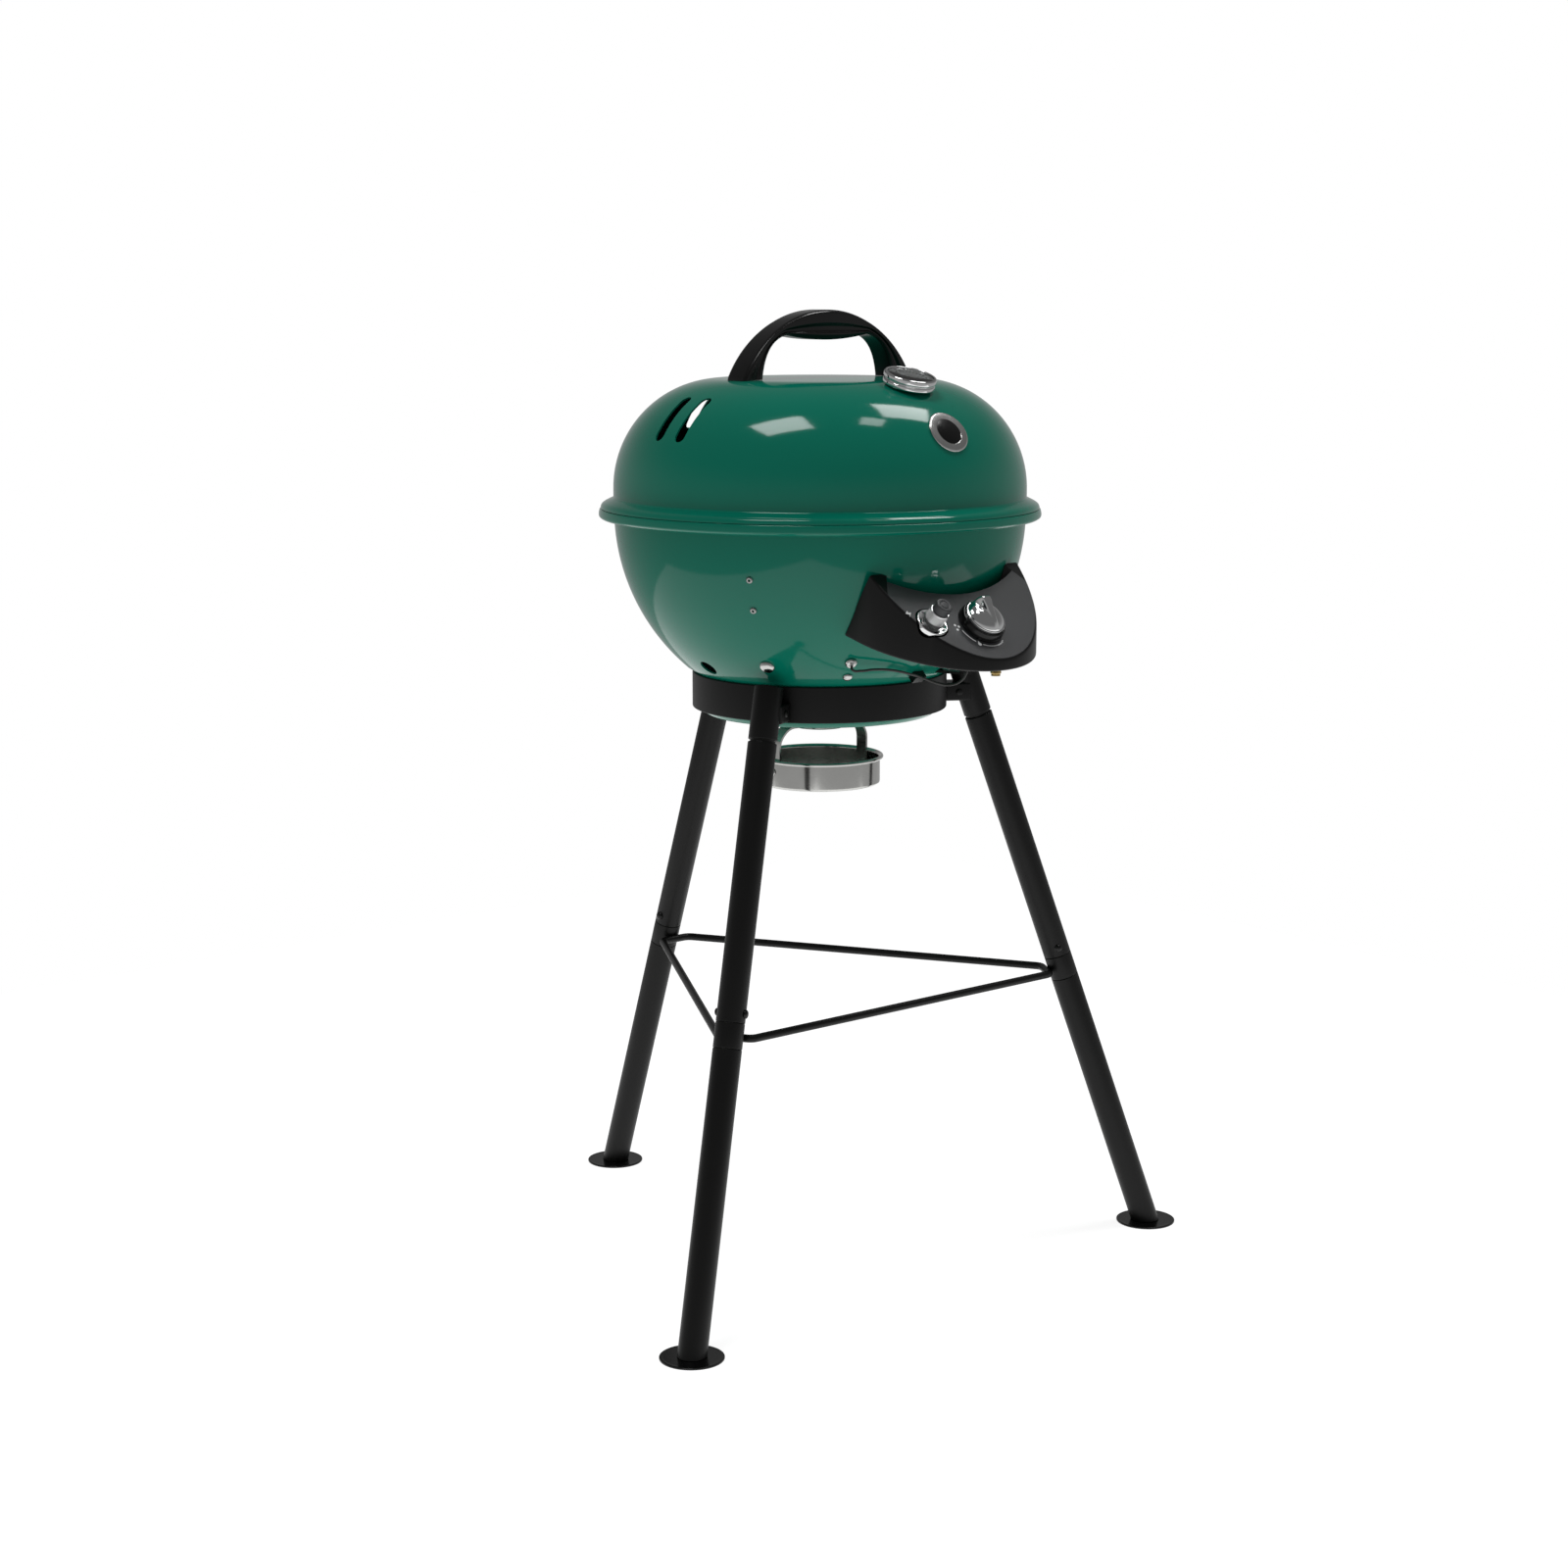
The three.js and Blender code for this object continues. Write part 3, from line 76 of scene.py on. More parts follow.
# ---------------------------------------------------------------- camera
# A standing viewer's eye, in front and to the left, looking slightly down.
camera_data = bpy.data.cameras.new("camera")
camera_data.sensor_width = 36
camera_data.lens = 65.54
camera = bpy.data.objects.new("camera", camera_data)
camera.location = polar(2.9385, -130.70, 1.0200)
look = Vector((0.63261, 0.75442, -0.17508))
camera.rotation_euler = look.to_track_quat("-Z", "Y").to_euler()
bpy.context.collection.objects.link(camera)
bpy.context.scene.camera = camera

# ---------------------------------------------------------------- ignition lead
# A thin silicone-sleeved lead. It runs from the electrode's terminal round the bowl, through a
# clip, dips in a loop and goes up into the floor of the control box.
bowl_radius = 0.2112
bowl_centre = 0.784
lead_radius = 0.0013
lead_route = [(-116.6, 638.9, 13), (-112.2, 639.4, 10.6), (-106.9, 638.4, 9), (-100.9, 635.2, 9),
              (-95.2, 631, 9.4), (-90, 627.2, 9.4), (-85.5, 622.6, 16.7), (-82, 618.6, 27.2),
              (-79.3, 617, 37.2), (-77.5, 620.6, 41.6), (-76.9, 630, 37.7), (-76.8, 644, 26.3),
              (-76.8, 659, 14.6), (-76.8, 676, 3.3)]


def on_bowl(azimuth, height):
    """The frame on the bowl's outer face, with its Z straight out of the metal."""
    reach = math.sqrt(bowl_radius ** 2 - (height - bowl_centre) ** 2)
    point = polar(reach, azimuth, height)
    return facing(point, point - Vector((0, kettle_y, bowl_centre)))


def principled(name):
    """A new material with its nodes, links and shader."""
    material = bpy.data.materials.new(name)
    material.use_nodes = True
    nodes = material.node_tree.nodes
    return material, nodes, material.node_tree.links, nodes["Principled BSDF"]


def finish(name, colour, roughness, metallic=0.0, shade=0.85, grain=0.001, depth=0.00002,
           stretch=(1, 1, 1), cloud=0.06, gloss=0.5, spread=0.06):
    """A surface whose colour drifts a little over cloud metres, with a fine grain in relief."""
    material, nodes, links, shader = principled(name)
    coordinates = nodes.new("ShaderNodeTexCoord")
    mapping = nodes.new("ShaderNodeMapping")
    mapping.inputs["Scale"].default_value = stretch
    links.new(coordinates.outputs["Object"], mapping.inputs["Vector"])
    drift = nodes.new("ShaderNodeTexNoise")
    drift.inputs["Scale"].default_value = 1 / cloud
    drift.inputs["Detail"].default_value = 4
    links.new(coordinates.outputs["Object"], drift.inputs["Vector"])
    fine = nodes.new("ShaderNodeTexNoise")
    fine.inputs["Scale"].default_value = 1 / grain
    fine.inputs["Detail"].default_value = 3
    links.new(mapping.outputs["Vector"], fine.inputs["Vector"])
    tone = nodes.new("ShaderNodeMix")
    tone.data_type = "RGBA"
    tone.inputs["A"].default_value = (*[channel * shade for channel in colour], 1)
    tone.inputs["B"].default_value = (*colour, 1)
    links.new(drift.outputs["Fac"], tone.inputs["Factor"])
    links.new(tone.outputs["Result"], shader.inputs["Base Color"])
    wear = nodes.new("ShaderNodeMapRange")
    wear.inputs["To Min"].default_value = max(roughness - spread, 0.02)
    wear.inputs["To Max"].default_value = roughness + spread
    links.new(fine.outputs["Fac"], wear.inputs["Value"])
    links.new(wear.outputs["Result"], shader.inputs["Roughness"])
    relief = nodes.new("ShaderNodeBump")
    relief.inputs["Distance"].default_value = depth
    relief.inputs["Strength"].default_value = 0.6
    links.new(fine.outputs["Fac"], relief.inputs["Height"])
    links.new(relief.outputs["Normal"], shader.inputs["Normal"])
    shader.inputs["Metallic"].default_value = metallic
    shader.inputs["Specular IOR Level"].default_value = gloss
    return material


lead_rubber = finish("lead_rubber", (0.022, 0.022, 0.02), 0.55, grain=0.0008, depth=0.00003)
terminal_top = 0.0055
electrode_place = on_bowl(-119.7, 0.647)
lead_points = [electrode_place @ Vector((0, 0, terminal_top + rise)) for rise in (0.0003, 0.0045)]
for azimuth, height, out in lead_route:
    reach = math.sqrt(bowl_radius ** 2 - (height * mm - bowl_centre) ** 2)
    lead_points.append(polar(reach + out * mm, azimuth, height * mm))
lead_curve = bpy.data.curves.new("lead", "CURVE")
lead_curve.dimensions = "3D"
lead_curve.bevel_depth = lead_radius
lead_curve.bevel_resolution = 4
lead_curve.resolution_u = 10
lead_curve.use_fill_caps = True
spline = lead_curve.splines.new("BEZIER")
spline.bezier_points.add(len(lead_points) - 1)
for knot, point in zip(spline.bezier_points, lead_points):
    knot.co = point
    knot.handle_left_type = knot.handle_right_type = "AUTO"
lead_curve.materials.append(lead_rubber)
lead = bpy.data.objects.new("ignition_cable", lead_curve)
bpy.context.collection.objects.link(lead)
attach(lead, "stand")
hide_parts("ignition_lead")

# ---------------------------------------------------------------- feet
# Pressed black discs with a rolled edge.
black_gloss = finish("moulded_gloss_black", (0.0035, 0.0035, 0.0035), 0.2, grain=0.0015,
                     depth=0.00001, gloss=0.32)
powder_black = finish("powder_coat_black", (0.0035, 0.0035, 0.0033), 0.42, shade=0.75,
                      grain=0.0006, depth=0.00003, cloud=0.03, gloss=0.25, spread=0.08)
leg_azimuths = {"left": -150, "right": -30, "rear": 90}
leg_lean = math.radians(19)
leg_radius = 0.0145
foot_circle = 0.3652


def leg_place(azimuth):
    """A leg's frame: its origin on the floor, its Z up along the tube, its Y level."""
    inward = Vector((0, 0, math.cos(leg_lean))) - outward(azimuth) * math.sin(leg_lean)
    return facing(polar(foot_circle, azimuth, 0), inward)


def up_leg(height):
    """The length along the tube at a height above the floor."""
    return height / math.cos(leg_lean)


def softened(points, radius, steps=4, closed=False):
    """The outline with its corners rounded off by up to the radius."""
    points = [Vector(point) for point in points]
    count = len(points)
    soft = []
    for i, point in enumerate(points):
        if not closed and i in (0, count - 1):
            soft.append(point)
            continue
        before, after = points[i - 1] - point, points[(i + 1) % count] - point
        reach = min(radius, before.length * 0.45, after.length * 0.45)
        start, end = point + before.normalized() * reach, point + after.normalized() * reach
        for step in range(steps + 1):
            t = step / steps
            soft.append(start * (1 - t) ** 2 + point * 2 * t * (1 - t) + end * t ** 2)
    return soft


def add_turned(mesh, outline, place, sides=64, closed=False):
    """Adds the piece turned about the place's Z from its outline of (radius, height)."""
    rings = []
    for radius, height in outline:
        if radius < 1e-7:
            rings.append([mesh.verts.new(place @ Vector((0, 0, height)))])
            continue
        rings.append([mesh.verts.new(place @ Vector((
            radius * math.cos(2 * math.pi * i / sides),
            radius * math.sin(2 * math.pi * i / sides), height))) for i in range(sides)])
    pairs = list(zip(rings, rings[1:])) + ([(rings[-1], rings[0])] if closed else [])
    for low, high in pairs:
        for i in range(sides):
            j = (i + 1) % sides
            corners = [low[i % len(low)], low[j % len(low)], high[j % len(high)],
                       high[i % len(high)]]
            unique = list(dict.fromkeys(corners))
            if len(unique) > 2:
                mesh.faces.new(unique)


def add_prism(mesh, plan, place, low, high):
    """Adds the upright prism on a plan of (x, y), between two heights of the place."""
    floor_ring = [mesh.verts.new(place @ Vector((x, y, low))) for x, y in plan]
    top_ring = [mesh.verts.new(place @ Vector((x, y, high))) for x, y in plan]
    mesh.faces.new(floor_ring[::-1])
    mesh.faces.new(top_ring)
    for i in range(len(plan)):
        j = (i + 1) % len(plan)
        mesh.faces.new((floor_ring[i], floor_ring[j], top_ring[j], top_ring[i]))


def piece(name, mesh, material, body, nodes, crease=32, shaded=True):
    """Makes the mesh an object on its body, in place of its CAD nodes."""
    data = mesh
    if isinstance(mesh, bmesh.types.BMesh):
        bmesh.ops.recalc_face_normals(mesh, faces=mesh.faces)
        data = bpy.data.meshes.new(name)
        mesh.to_mesh(data)
        mesh.free()
    if shaded:
        data.shade_smooth()
        data.set_sharp_from_angle(angle=math.radians(crease))
    data.materials.clear()
    data.materials.append(material)
    made = bpy.data.objects.new(name, data)
    bpy.context.collection.objects.link(made)
    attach(made, body)
    if nodes:
        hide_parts(*nodes)
    return made


foot_radius = 0.0317
foot_thickness = 0.0022
for side, azimuth in leg_azimuths.items():
    foot = bmesh.new()
    disc = softened([(0, 0), (foot_radius, 0), (foot_radius, foot_thickness),
                     (foot_radius - 0.004, foot_thickness - 0.0002), (0, foot_thickness - 0.0002)],
                    0.0008)
    add_turned(foot, disc, Matrix.Translation(polar(foot_circle, azimuth, 0)), 96)
    piece(f"foot_disc_{side}", foot, black_gloss, "stand", [f"leg_foot_{side}"])

# ---------------------------------------------------------------- lower leg tubes
# Powder-coated steel tube, cut on the slant at the foot and pushed over the tie ring's stub.
tube_bore = 0.013
stub_bottom = up_leg(0.281)
stub_top = up_leg(0.305)
seam = 0.0003
for side, azimuth in leg_azimuths.items():
    tube = bmesh.new()
    place = leg_place(azimuth)
    top = stub_bottom - seam
    outline = [(tube_bore, -0.02), (leg_radius, -0.02), *softened(
        [(leg_radius, 0.03), (leg_radius, top), (tube_bore, top)], 0.0009), (tube_bore, 0.03)]
    add_turned(tube, outline, place, 64, closed=True)
    floor_cut = bmesh.ops.bisect_plane(
        tube, geom=tube.verts[:] + tube.edges[:] + tube.faces[:],
        plane_co=(0, 0, foot_thickness + seam), plane_no=(0, 0, 1), clear_inner=True)
    rim = [edge for edge in floor_cut["geom_cut"] if isinstance(edge, bmesh.types.BMEdge)]
    bmesh.ops.bridge_loops(tube, edges=rim)
    piece(f"lower_tube_{side}", tube, powder_black, "stand", [f"leg_lower_{side}"])

# ---------------------------------------------------------------- tie ring
# One bent steel rod with three long and three short sides. Each short side is welded to a stub
# that joins the lower and upper tubes of a leg.
tie_radius = 0.004
tie_height = 0.2872
half_short = 0.0179
tie_bend = 0.010


def node_tree(name, values):
    """A node tree that takes a mesh and named values, with its given node and its sockets."""
    tree = bpy.data.node_groups.new(name, "GeometryNodeTree")
    tree.interface.new_socket("Start", in_out="INPUT", socket_type="NodeSocketGeometry")
    sockets = [tree.interface.new_socket(label, in_out="INPUT", socket_type=f"NodeSocket{kind}")
               for label, kind in values]
    tree.interface.new_socket("Result", in_out="OUTPUT", socket_type="NodeSocketGeometry")
    return tree, tree.nodes.new("NodeGroupInput"), sockets


def wire(tree, *pairs):
    """Links each pair of an output and an input."""
    for start, end in pairs:
        tree.links.new(start, end)


def realized(tree, geometry, material):
    """Ends the tree by making the geometry real and giving it the material."""
    realize = tree.nodes.new("GeometryNodeRealizeInstances")
    paint = tree.nodes.new("GeometryNodeSetMaterial")
    paint.inputs["Material"].default_value = material
    result = tree.nodes.new("NodeGroupOutput")
    wire(tree, (geometry, realize.inputs["Geometry"]),
         (realize.outputs["Geometry"], paint.inputs["Geometry"]),
         (paint.outputs["Geometry"], result.inputs["Result"]))


def swept_rod(name, corners, radius, bend):
    """A closed rod through the corners with even bends, made with curve nodes."""
    tree, given, (bend_socket, radius_socket) = node_tree(
        name, [("Bend", "Float"), ("Radius", "Float")])
    nodes = tree.nodes
    to_curve = nodes.new("GeometryNodeMeshToCurve")
    fillet = nodes.new("GeometryNodeFilletCurve")
    fillet.mode = "POLY"
    fillet.inputs["Count"].default_value = 12
    section = nodes.new("GeometryNodeCurvePrimitiveCircle")
    section.inputs["Resolution"].default_value = 24
    to_mesh = nodes.new("GeometryNodeCurveToMesh")
    to_mesh.inputs["Fill Caps"].default_value = True
    wire(tree, (given.outputs["Start"], to_curve.inputs["Mesh"]),
         (to_curve.outputs["Curve"], fillet.inputs["Curve"]),
         (given.outputs["Bend"], fillet.inputs["Radius"]),
         (fillet.outputs["Curve"], to_mesh.inputs["Curve"]),
         (given.outputs["Radius"], section.inputs["Radius"]),
         (section.outputs["Curve"], to_mesh.inputs["Profile Curve"]))
    realized(tree, to_mesh.outputs["Mesh"], powder_black)
    path = bpy.data.meshes.new(name)
    count = len(corners)
    path.from_pydata(corners, [(i, (i + 1) % count) for i in range(count)], [])
    return evaluated(name, path, tree, {bend_socket: bend, radius_socket: radius})


def evaluated(name, start, tree, values):
    """The plain mesh that a node tree makes from a starting mesh and its named values."""
    holder = bpy.data.objects.new(name, start)
    bpy.context.collection.objects.link(holder)
    modifier = holder.modifiers.new("nodes", "NODES")
    modifier.node_group = tree
    for socket, value in values.items():
        modifier[socket.identifier] = value
    graph = bpy.context.evaluated_depsgraph_get()
    made = bpy.data.meshes.new_from_object(holder.evaluated_get(graph))
    bpy.data.objects.remove(holder)
    return made


leg_reach = foot_circle - math.tan(leg_lean) * tie_height
short_reach = leg_reach - leg_radius / math.cos(leg_lean) - tie_radius + 0.0006
tie_corners = []
for azimuth in (-150, -30, 90):
    middle = polar(short_reach, azimuth, tie_height)
    along = outward(azimuth + 90) * half_short
    tie_corners += [middle - along, middle + along]
tie_frame = bmesh.new()
for azimuth in leg_azimuths.values():
    stub = softened([(0, stub_bottom - 0.02), (0.0126, stub_bottom - 0.02), (0.0126, stub_bottom),
                     (leg_radius, stub_bottom), (leg_radius, stub_top), (0.0126, stub_top),
                     (0.0126, stub_top + 0.02), (0, stub_top + 0.02)], 0.0008)
    add_turned(tie_frame, stub, leg_place(azimuth), 64)
tie_frame.from_mesh(swept_rod("tie_rod", tie_corners, tie_radius, tie_bend))
piece("tie_frame", tie_frame, powder_black, "stand", ["tie_ring"])

# ---------------------------------------------------------------- upper leg tubes and sockets
# The upper tube slips over the stub and over the spigot of the socket that is bolted to the
# ring band. A strip of bare spigot shows as a dark groove under each socket.
leg_top = up_leg(0.620)
socket_low = up_leg(0.5695)
tube_top = up_leg(0.567)
for side, azimuth in leg_azimuths.items():
    tube = bmesh.new()
    outline = softened([(tube_bore, stub_top + seam), (leg_radius, stub_top + seam),
                        (leg_radius, tube_top), (tube_bore, tube_top)], 0.0012,
                       closed=True)
    add_turned(tube, outline, leg_place(azimuth), 64, closed=True)
    piece(f"upper_tube_{side}", tube, powder_black, "stand", [f"leg_upper_{side}"])
    socket = bmesh.new()
    outline = softened([(0, socket_low - 0.028), (0.0126, socket_low - 0.028),
                        (0.0126, socket_low), (leg_radius, socket_low), (leg_radius, leg_top),
                        (0, leg_top)], 0.0014)
    add_turned(socket, outline, leg_place(azimuth), 64)
    piece(f"socket_{side}", socket, powder_black, "stand", [f"leg_top_{side}"])

# ---------------------------------------------------------------- leg screws
# A domed screw goes through each leg above the stub, with a cap nut on the other side.


def round_copies(name, template, count, material):
    """Copies of a small mesh spaced evenly round Z, each turned to face outwards."""
    tree, given, (radius_socket, count_socket) = node_tree(
        name, [("Radius", "Float"), ("Count", "Int")])
    nodes = tree.nodes
    ring = nodes.new("GeometryNodeMeshCircle")
    index = nodes.new("GeometryNodeInputIndex")
    share = nodes.new("ShaderNodeMath")
    share.operation = "DIVIDE"
    turn = nodes.new("ShaderNodeMath")
    turn.operation = "MULTIPLY"
    turn.inputs[1].default_value = 2 * math.pi
    euler = nodes.new("ShaderNodeCombineXYZ")
    stand = nodes.new("GeometryNodeInstanceOnPoints")
    wire(tree, (given.outputs["Count"], ring.inputs["Vertices"]),
         (given.outputs["Radius"], ring.inputs["Radius"]),
         (index.outputs["Index"], share.inputs[0]),
         (given.outputs["Count"], share.inputs[1]),
         (share.outputs[0], turn.inputs[0]),
         (turn.outputs[0], euler.inputs["Z"]),
         (ring.outputs["Mesh"], stand.inputs["Points"]),
         (given.outputs["Start"], stand.inputs["Instance"]),
         (euler.outputs["Vector"], stand.inputs["Rotation"]))
    realized(tree, stand.outputs["Instances"], material)
    return evaluated(name, template, tree, {radius_socket: 1e-6, count_socket: count})


def to_data(name, mesh):
    """The bmesh as plain mesh data with its faces pointing outwards."""
    bmesh.ops.recalc_face_normals(mesh, faces=mesh.faces)
    data = bpy.data.meshes.new(name)
    mesh.to_mesh(data)
    mesh.free()
    return data


def dome(radius, height, base=0.0, steps=8):
    """The outline of a low domed head from its edge at the base up to its middle."""
    return [(radius * math.cos(math.pi / 2 * i / steps),
             base + height * math.sin(math.pi / 2 * i / steps)) for i in range(steps)] + [
                 (0, base + height)]


cross = Matrix.Rotation(-math.pi / 2, 4, "Y")
for side, azimuth in leg_azimuths.items():
    screw = bmesh.new()
    place = leg_place(azimuth) @ Matrix.Translation((0, 0, up_leg(0.314))) @ cross
    start = leg_radius + seam
    head = dome(0.0046, 0.0026, start)
    add_turned(screw, [(0, 0.002), (0.0024, 0.002), (0.0024, start), *head], place, 32)
    nut = dome(0.0040, 0.0026, start)
    away = place @ Matrix.Rotation(math.pi, 4, "X")
    add_turned(screw, [(0, 0.002), (0.0024, 0.002), (0.0024, start), *nut], away, 32)
    piece(f"screw_{side}", screw, black_gloss, "stand", [f"leg_screw_{side}"])

# ---------------------------------------------------------------- ring band
# A rolled steel hoop. A welded block at each leg is pinned with a bolt on each side.
band_radius = 0.1319
band_wall = 0.0025
band_low = 0.5817
band_top = 0.6181
block_low = 0.584
block_top = 0.6025
band = bmesh.new()
hoop = softened([(band_radius - band_wall, band_low), (band_radius, band_low),
                 (band_radius, band_top), (band_radius - band_wall, band_top)], 0.0028, 6,
                closed=True)
add_turned(band, hoop, axis, 192, closed=True)
for azimuth in leg_azimuths.values():
    outer = foot_circle - math.tan(leg_lean) * block_low - 0.006
    across, out = 0.0155, outward(azimuth)
    level = Vector((-out.y, out.x, 0))
    block = bmesh.ops.create_cube(band, size=1)
    middle = Vector((0, kettle_y, (block_low + block_top) / 2)) + out * (
        band_radius - 0.001 + outer) / 2
    span = outer - band_radius + 0.001
    turn = Matrix((out, level, Vector((0, 0, 1)))).transposed().to_4x4()
    size = Matrix.Diagonal((span, 2 * across, block_top - block_low, 1))
    bmesh.ops.transform(band, matrix=Matrix.Translation(middle) @ turn @ size,
                        verts=block["verts"])
    edges = list({edge for vert in block["verts"] for edge in vert.link_edges})
    bmesh.ops.bevel(band, geom=edges, offset=0.0018, segments=4, affect="EDGES", profile=0.5)
    for hand in (-1, 1):
        spot = middle + level * hand * across + out * 0.001
        bolt = facing(spot, level * hand)
        add_turned(band, [(0.0036, -0.001), *dome(0.0036, 0.0016, 0.0006)], bolt, 24)
piece("band_and_blocks", band, powder_black, "stand", ["ring_band"])

# ---------------------------------------------------------------- bowl
# Deep-drawn steel, enamelled green inside and out. The flanged rim carries the lid, the sump sits
# in the ring band and drains through a short spout. Two round air holes are punched low down.
green_enamel = finish("green_enamel", (0.0012, 0.175, 0.114), 0.09, shade=0.93, grain=0.004,
                      depth=0.00002, cloud=0.12, gloss=0.3, spread=0.025)
sump_top = 0.624
bowl_wall = 0.0018
rim_under = 0.7747
rim_height = 0.012
rim_radius = 0.227


def sphere_side(radius, steps=48):
    """The side of the bowl, at this radius from the middle of its sphere."""
    start = math.asin((sump_top - bowl_centre) / bowl_radius)
    end = math.asin((rim_under - bowl_centre) / bowl_radius)
    return [(radius * math.cos(start + (end - start) * i / steps),
             bowl_centre + radius * math.sin(start + (end - start) * i / steps))
            for i in range(steps + 1)]


def cut_out(data, cutters):
    """The mesh with the closed cutters taken out of it."""
    body = bpy.data.objects.new("uncut", data)
    bpy.context.collection.objects.link(body)
    tools = []
    for number, cutter in enumerate(cutters):
        tool = bpy.data.objects.new(f"cutter_{number}", cutter)
        bpy.context.collection.objects.link(tool)
        tools.append(tool)
        modifier = body.modifiers.new(tool.name, "BOOLEAN")
        modifier.object = tool
        modifier.operation = "DIFFERENCE"
        modifier.solver = "EXACT"
    graph = bpy.context.evaluated_depsgraph_get()
    result = bpy.data.meshes.new_from_object(body.evaluated_get(graph))
    for used in [body, *tools]:
        bpy.data.objects.remove(used)
    return result


def follow_surface(data, normal_at):
    """Gives each corner the true normal of the surface it lies on, so that cuts leave no mark."""
    normals = [corner.vector.copy() for corner in data.corner_normals]
    for face in data.polygons:
        for loop in face.loop_indices:
            true = normal_at(data.vertices[data.loops[loop].vertex_index].co)
            if true is None:
                continue
            lean = true.dot(face.normal)
            if abs(lean) > 0.94:
                normals[loop] = true if lean > 0 else -true
    data.normals_split_custom_set(normals)


outside = sphere_side(bowl_radius)
inside = sphere_side(bowl_radius - bowl_wall)[::-1]
rim_top = rim_under + rim_height
flange = softened([outside[-1], (bowl_radius + 0.0018, rim_under - 0.0001),
                   (rim_radius - 0.0032, rim_under + 0.0019),
                   (rim_radius - 0.0005, rim_under + 0.0039), (rim_radius, rim_under + 0.0057),
                   (rim_radius - 0.0003, rim_under + 0.0088), (rim_radius - 0.0011, rim_top),
                   (bowl_radius - bowl_wall, rim_top)], 0.0016)
shoulder = (band_radius - band_wall - 0.0003, band_top + 0.0006)
lower = softened([(0.026, 0.559), (0.026, 0.5682), (0.118, 0.575), (0.125, 0.581), shoulder,
                  outside[0]], 0.003, 6)
lower_in = softened([inside[-1], (shoulder[0] - 0.0018, shoulder[1]), (0.1232, 0.5824),
                     (0.1173, 0.5768), (0.024, 0.5700), (0.024, 0.559)], 0.003, 6)
bowl_outline = [*lower[:-1], *outside, *flange[1:], *inside, *lower_in[1:]]
bowl_mesh = bmesh.new()
add_turned(bowl_mesh, bowl_outline, axis, 256, closed=True)
bowl_data = to_data("bowl_shell", bowl_mesh)
holes = []
for azimuth in (0, 180):
    hole = bmesh.new()
    add_turned(hole, [(0, -0.012), (1, -0.012), (1, 0.012), (0, 0.012)],
               on_bowl(azimuth, 0.6325) @ Matrix.Diagonal((0.00975, 0.00975, 1, 1)), 48)
    holes.append(to_data("air_hole", hole))
panel_tilt = math.radians(43.4)
panel_slope = math.tan(panel_tilt)
box_middle_y = 0.0359 - bowl_radius
panel_middle = 0.7514
floor_slope = 0.249
floor_middle = 0.6703


def panel_place(x, forward):
    """The frame on the panel's face, forward of the middle of the box's round front."""
    height = panel_middle - panel_slope * forward
    point = Vector((x, box_middle_y - forward + kettle_y, height))
    return Matrix.Translation(point) @ Matrix.Rotation(panel_tilt, 4, "X")


knob_x, knob_forward = -0.003, 0.067
valve_height = panel_middle - panel_slope * knob_forward - math.cos(panel_tilt) * 0.011
vent = bmesh.new()
add_turned(vent, [(0, -0.03), (0.009, -0.03), (0.009, 0.03), (0, 0.03)],
           facing((knob_x, box_middle_y + kettle_y, valve_height), (0, -1, 0)), 48)
holes.append(to_data("burner_vent", vent))
bowl_data = cut_out(bowl_data, holes)
bowl_data.shade_smooth()
bowl_data.set_sharp_from_angle(angle=math.radians(40))


def bowl_normal(point):
    """Straight out from the middle of the sphere, on the part of the bowl that is one."""
    out = Vector(point) - Vector((0, kettle_y, bowl_centre))
    on_sphere = abs(out.length - bowl_radius + bowl_wall / 2) < bowl_wall
    return out.normalized() if on_sphere and sump_top < point[2] < rim_under - 0.001 else None


follow_surface(bowl_data, bowl_normal)
piece("bowl_shell", bowl_data, green_enamel, "stand", ["bowl"], shaded=False)

# ---------------------------------------------------------------- bowl bolts and rivets
# Above each leg a large domed bolt clamps the burner's arm, and two pulled rivets with a
# pin hole in the middle hold a grate support.
polished_steel = finish("polished_steel", (0.60, 0.60, 0.585), 0.16, 1.0, shade=0.9, grain=0.0012,
                        depth=0.00001, cloud=0.02, spread=0.05)
for side, azimuth in leg_azimuths.items():
    bolt = bmesh.new()
    head = [(0, -0.011), (0.003, -0.011), (0.003, 0.0003), (0.0076, 0.0003), (0.0076, 0.0011),
            *dome(0.0074, 0.0042, 0.0011, 10)[1:]]
    add_turned(bolt, head, on_bowl(azimuth, 0.6413), 48)
    piece(f"arm_bolt_{side}", bolt, polished_steel, "stand", [f"bowl_bolt_{side}"])

support_wall = 0.0025
dull_silver = finish("dull_silver", (0.42, 0.42, 0.41), 0.42, 1.0, shade=0.85, grain=0.0008,
                     depth=0.00002, cloud=0.02)


def bent_strip(mesh, azimuth, low, high, width, thickness, radius):
    """A strip of sheet that lies against the bowl's wall between two heights."""
    rows = []
    for i in range(17):
        height = low + (high - low) * i / 16
        ring = []
        for depth in (0, thickness):
            reach = math.sqrt((radius - depth) ** 2 - (height - bowl_centre) ** 2)
            turn = math.degrees(width / 2 / reach)
            ring += [polar(reach, azimuth - turn, height), polar(reach, azimuth + turn, height)]
        rows.append([mesh.verts.new(ring[k]) for k in (0, 1, 3, 2)])
    for a, b in zip(rows, rows[1:]):
        for k in range(4):
            mesh.faces.new((a[k], a[(k + 1) % 4], b[(k + 1) % 4], b[k]))
    mesh.faces.new(rows[0])
    mesh.faces.new(rows[-1][::-1])


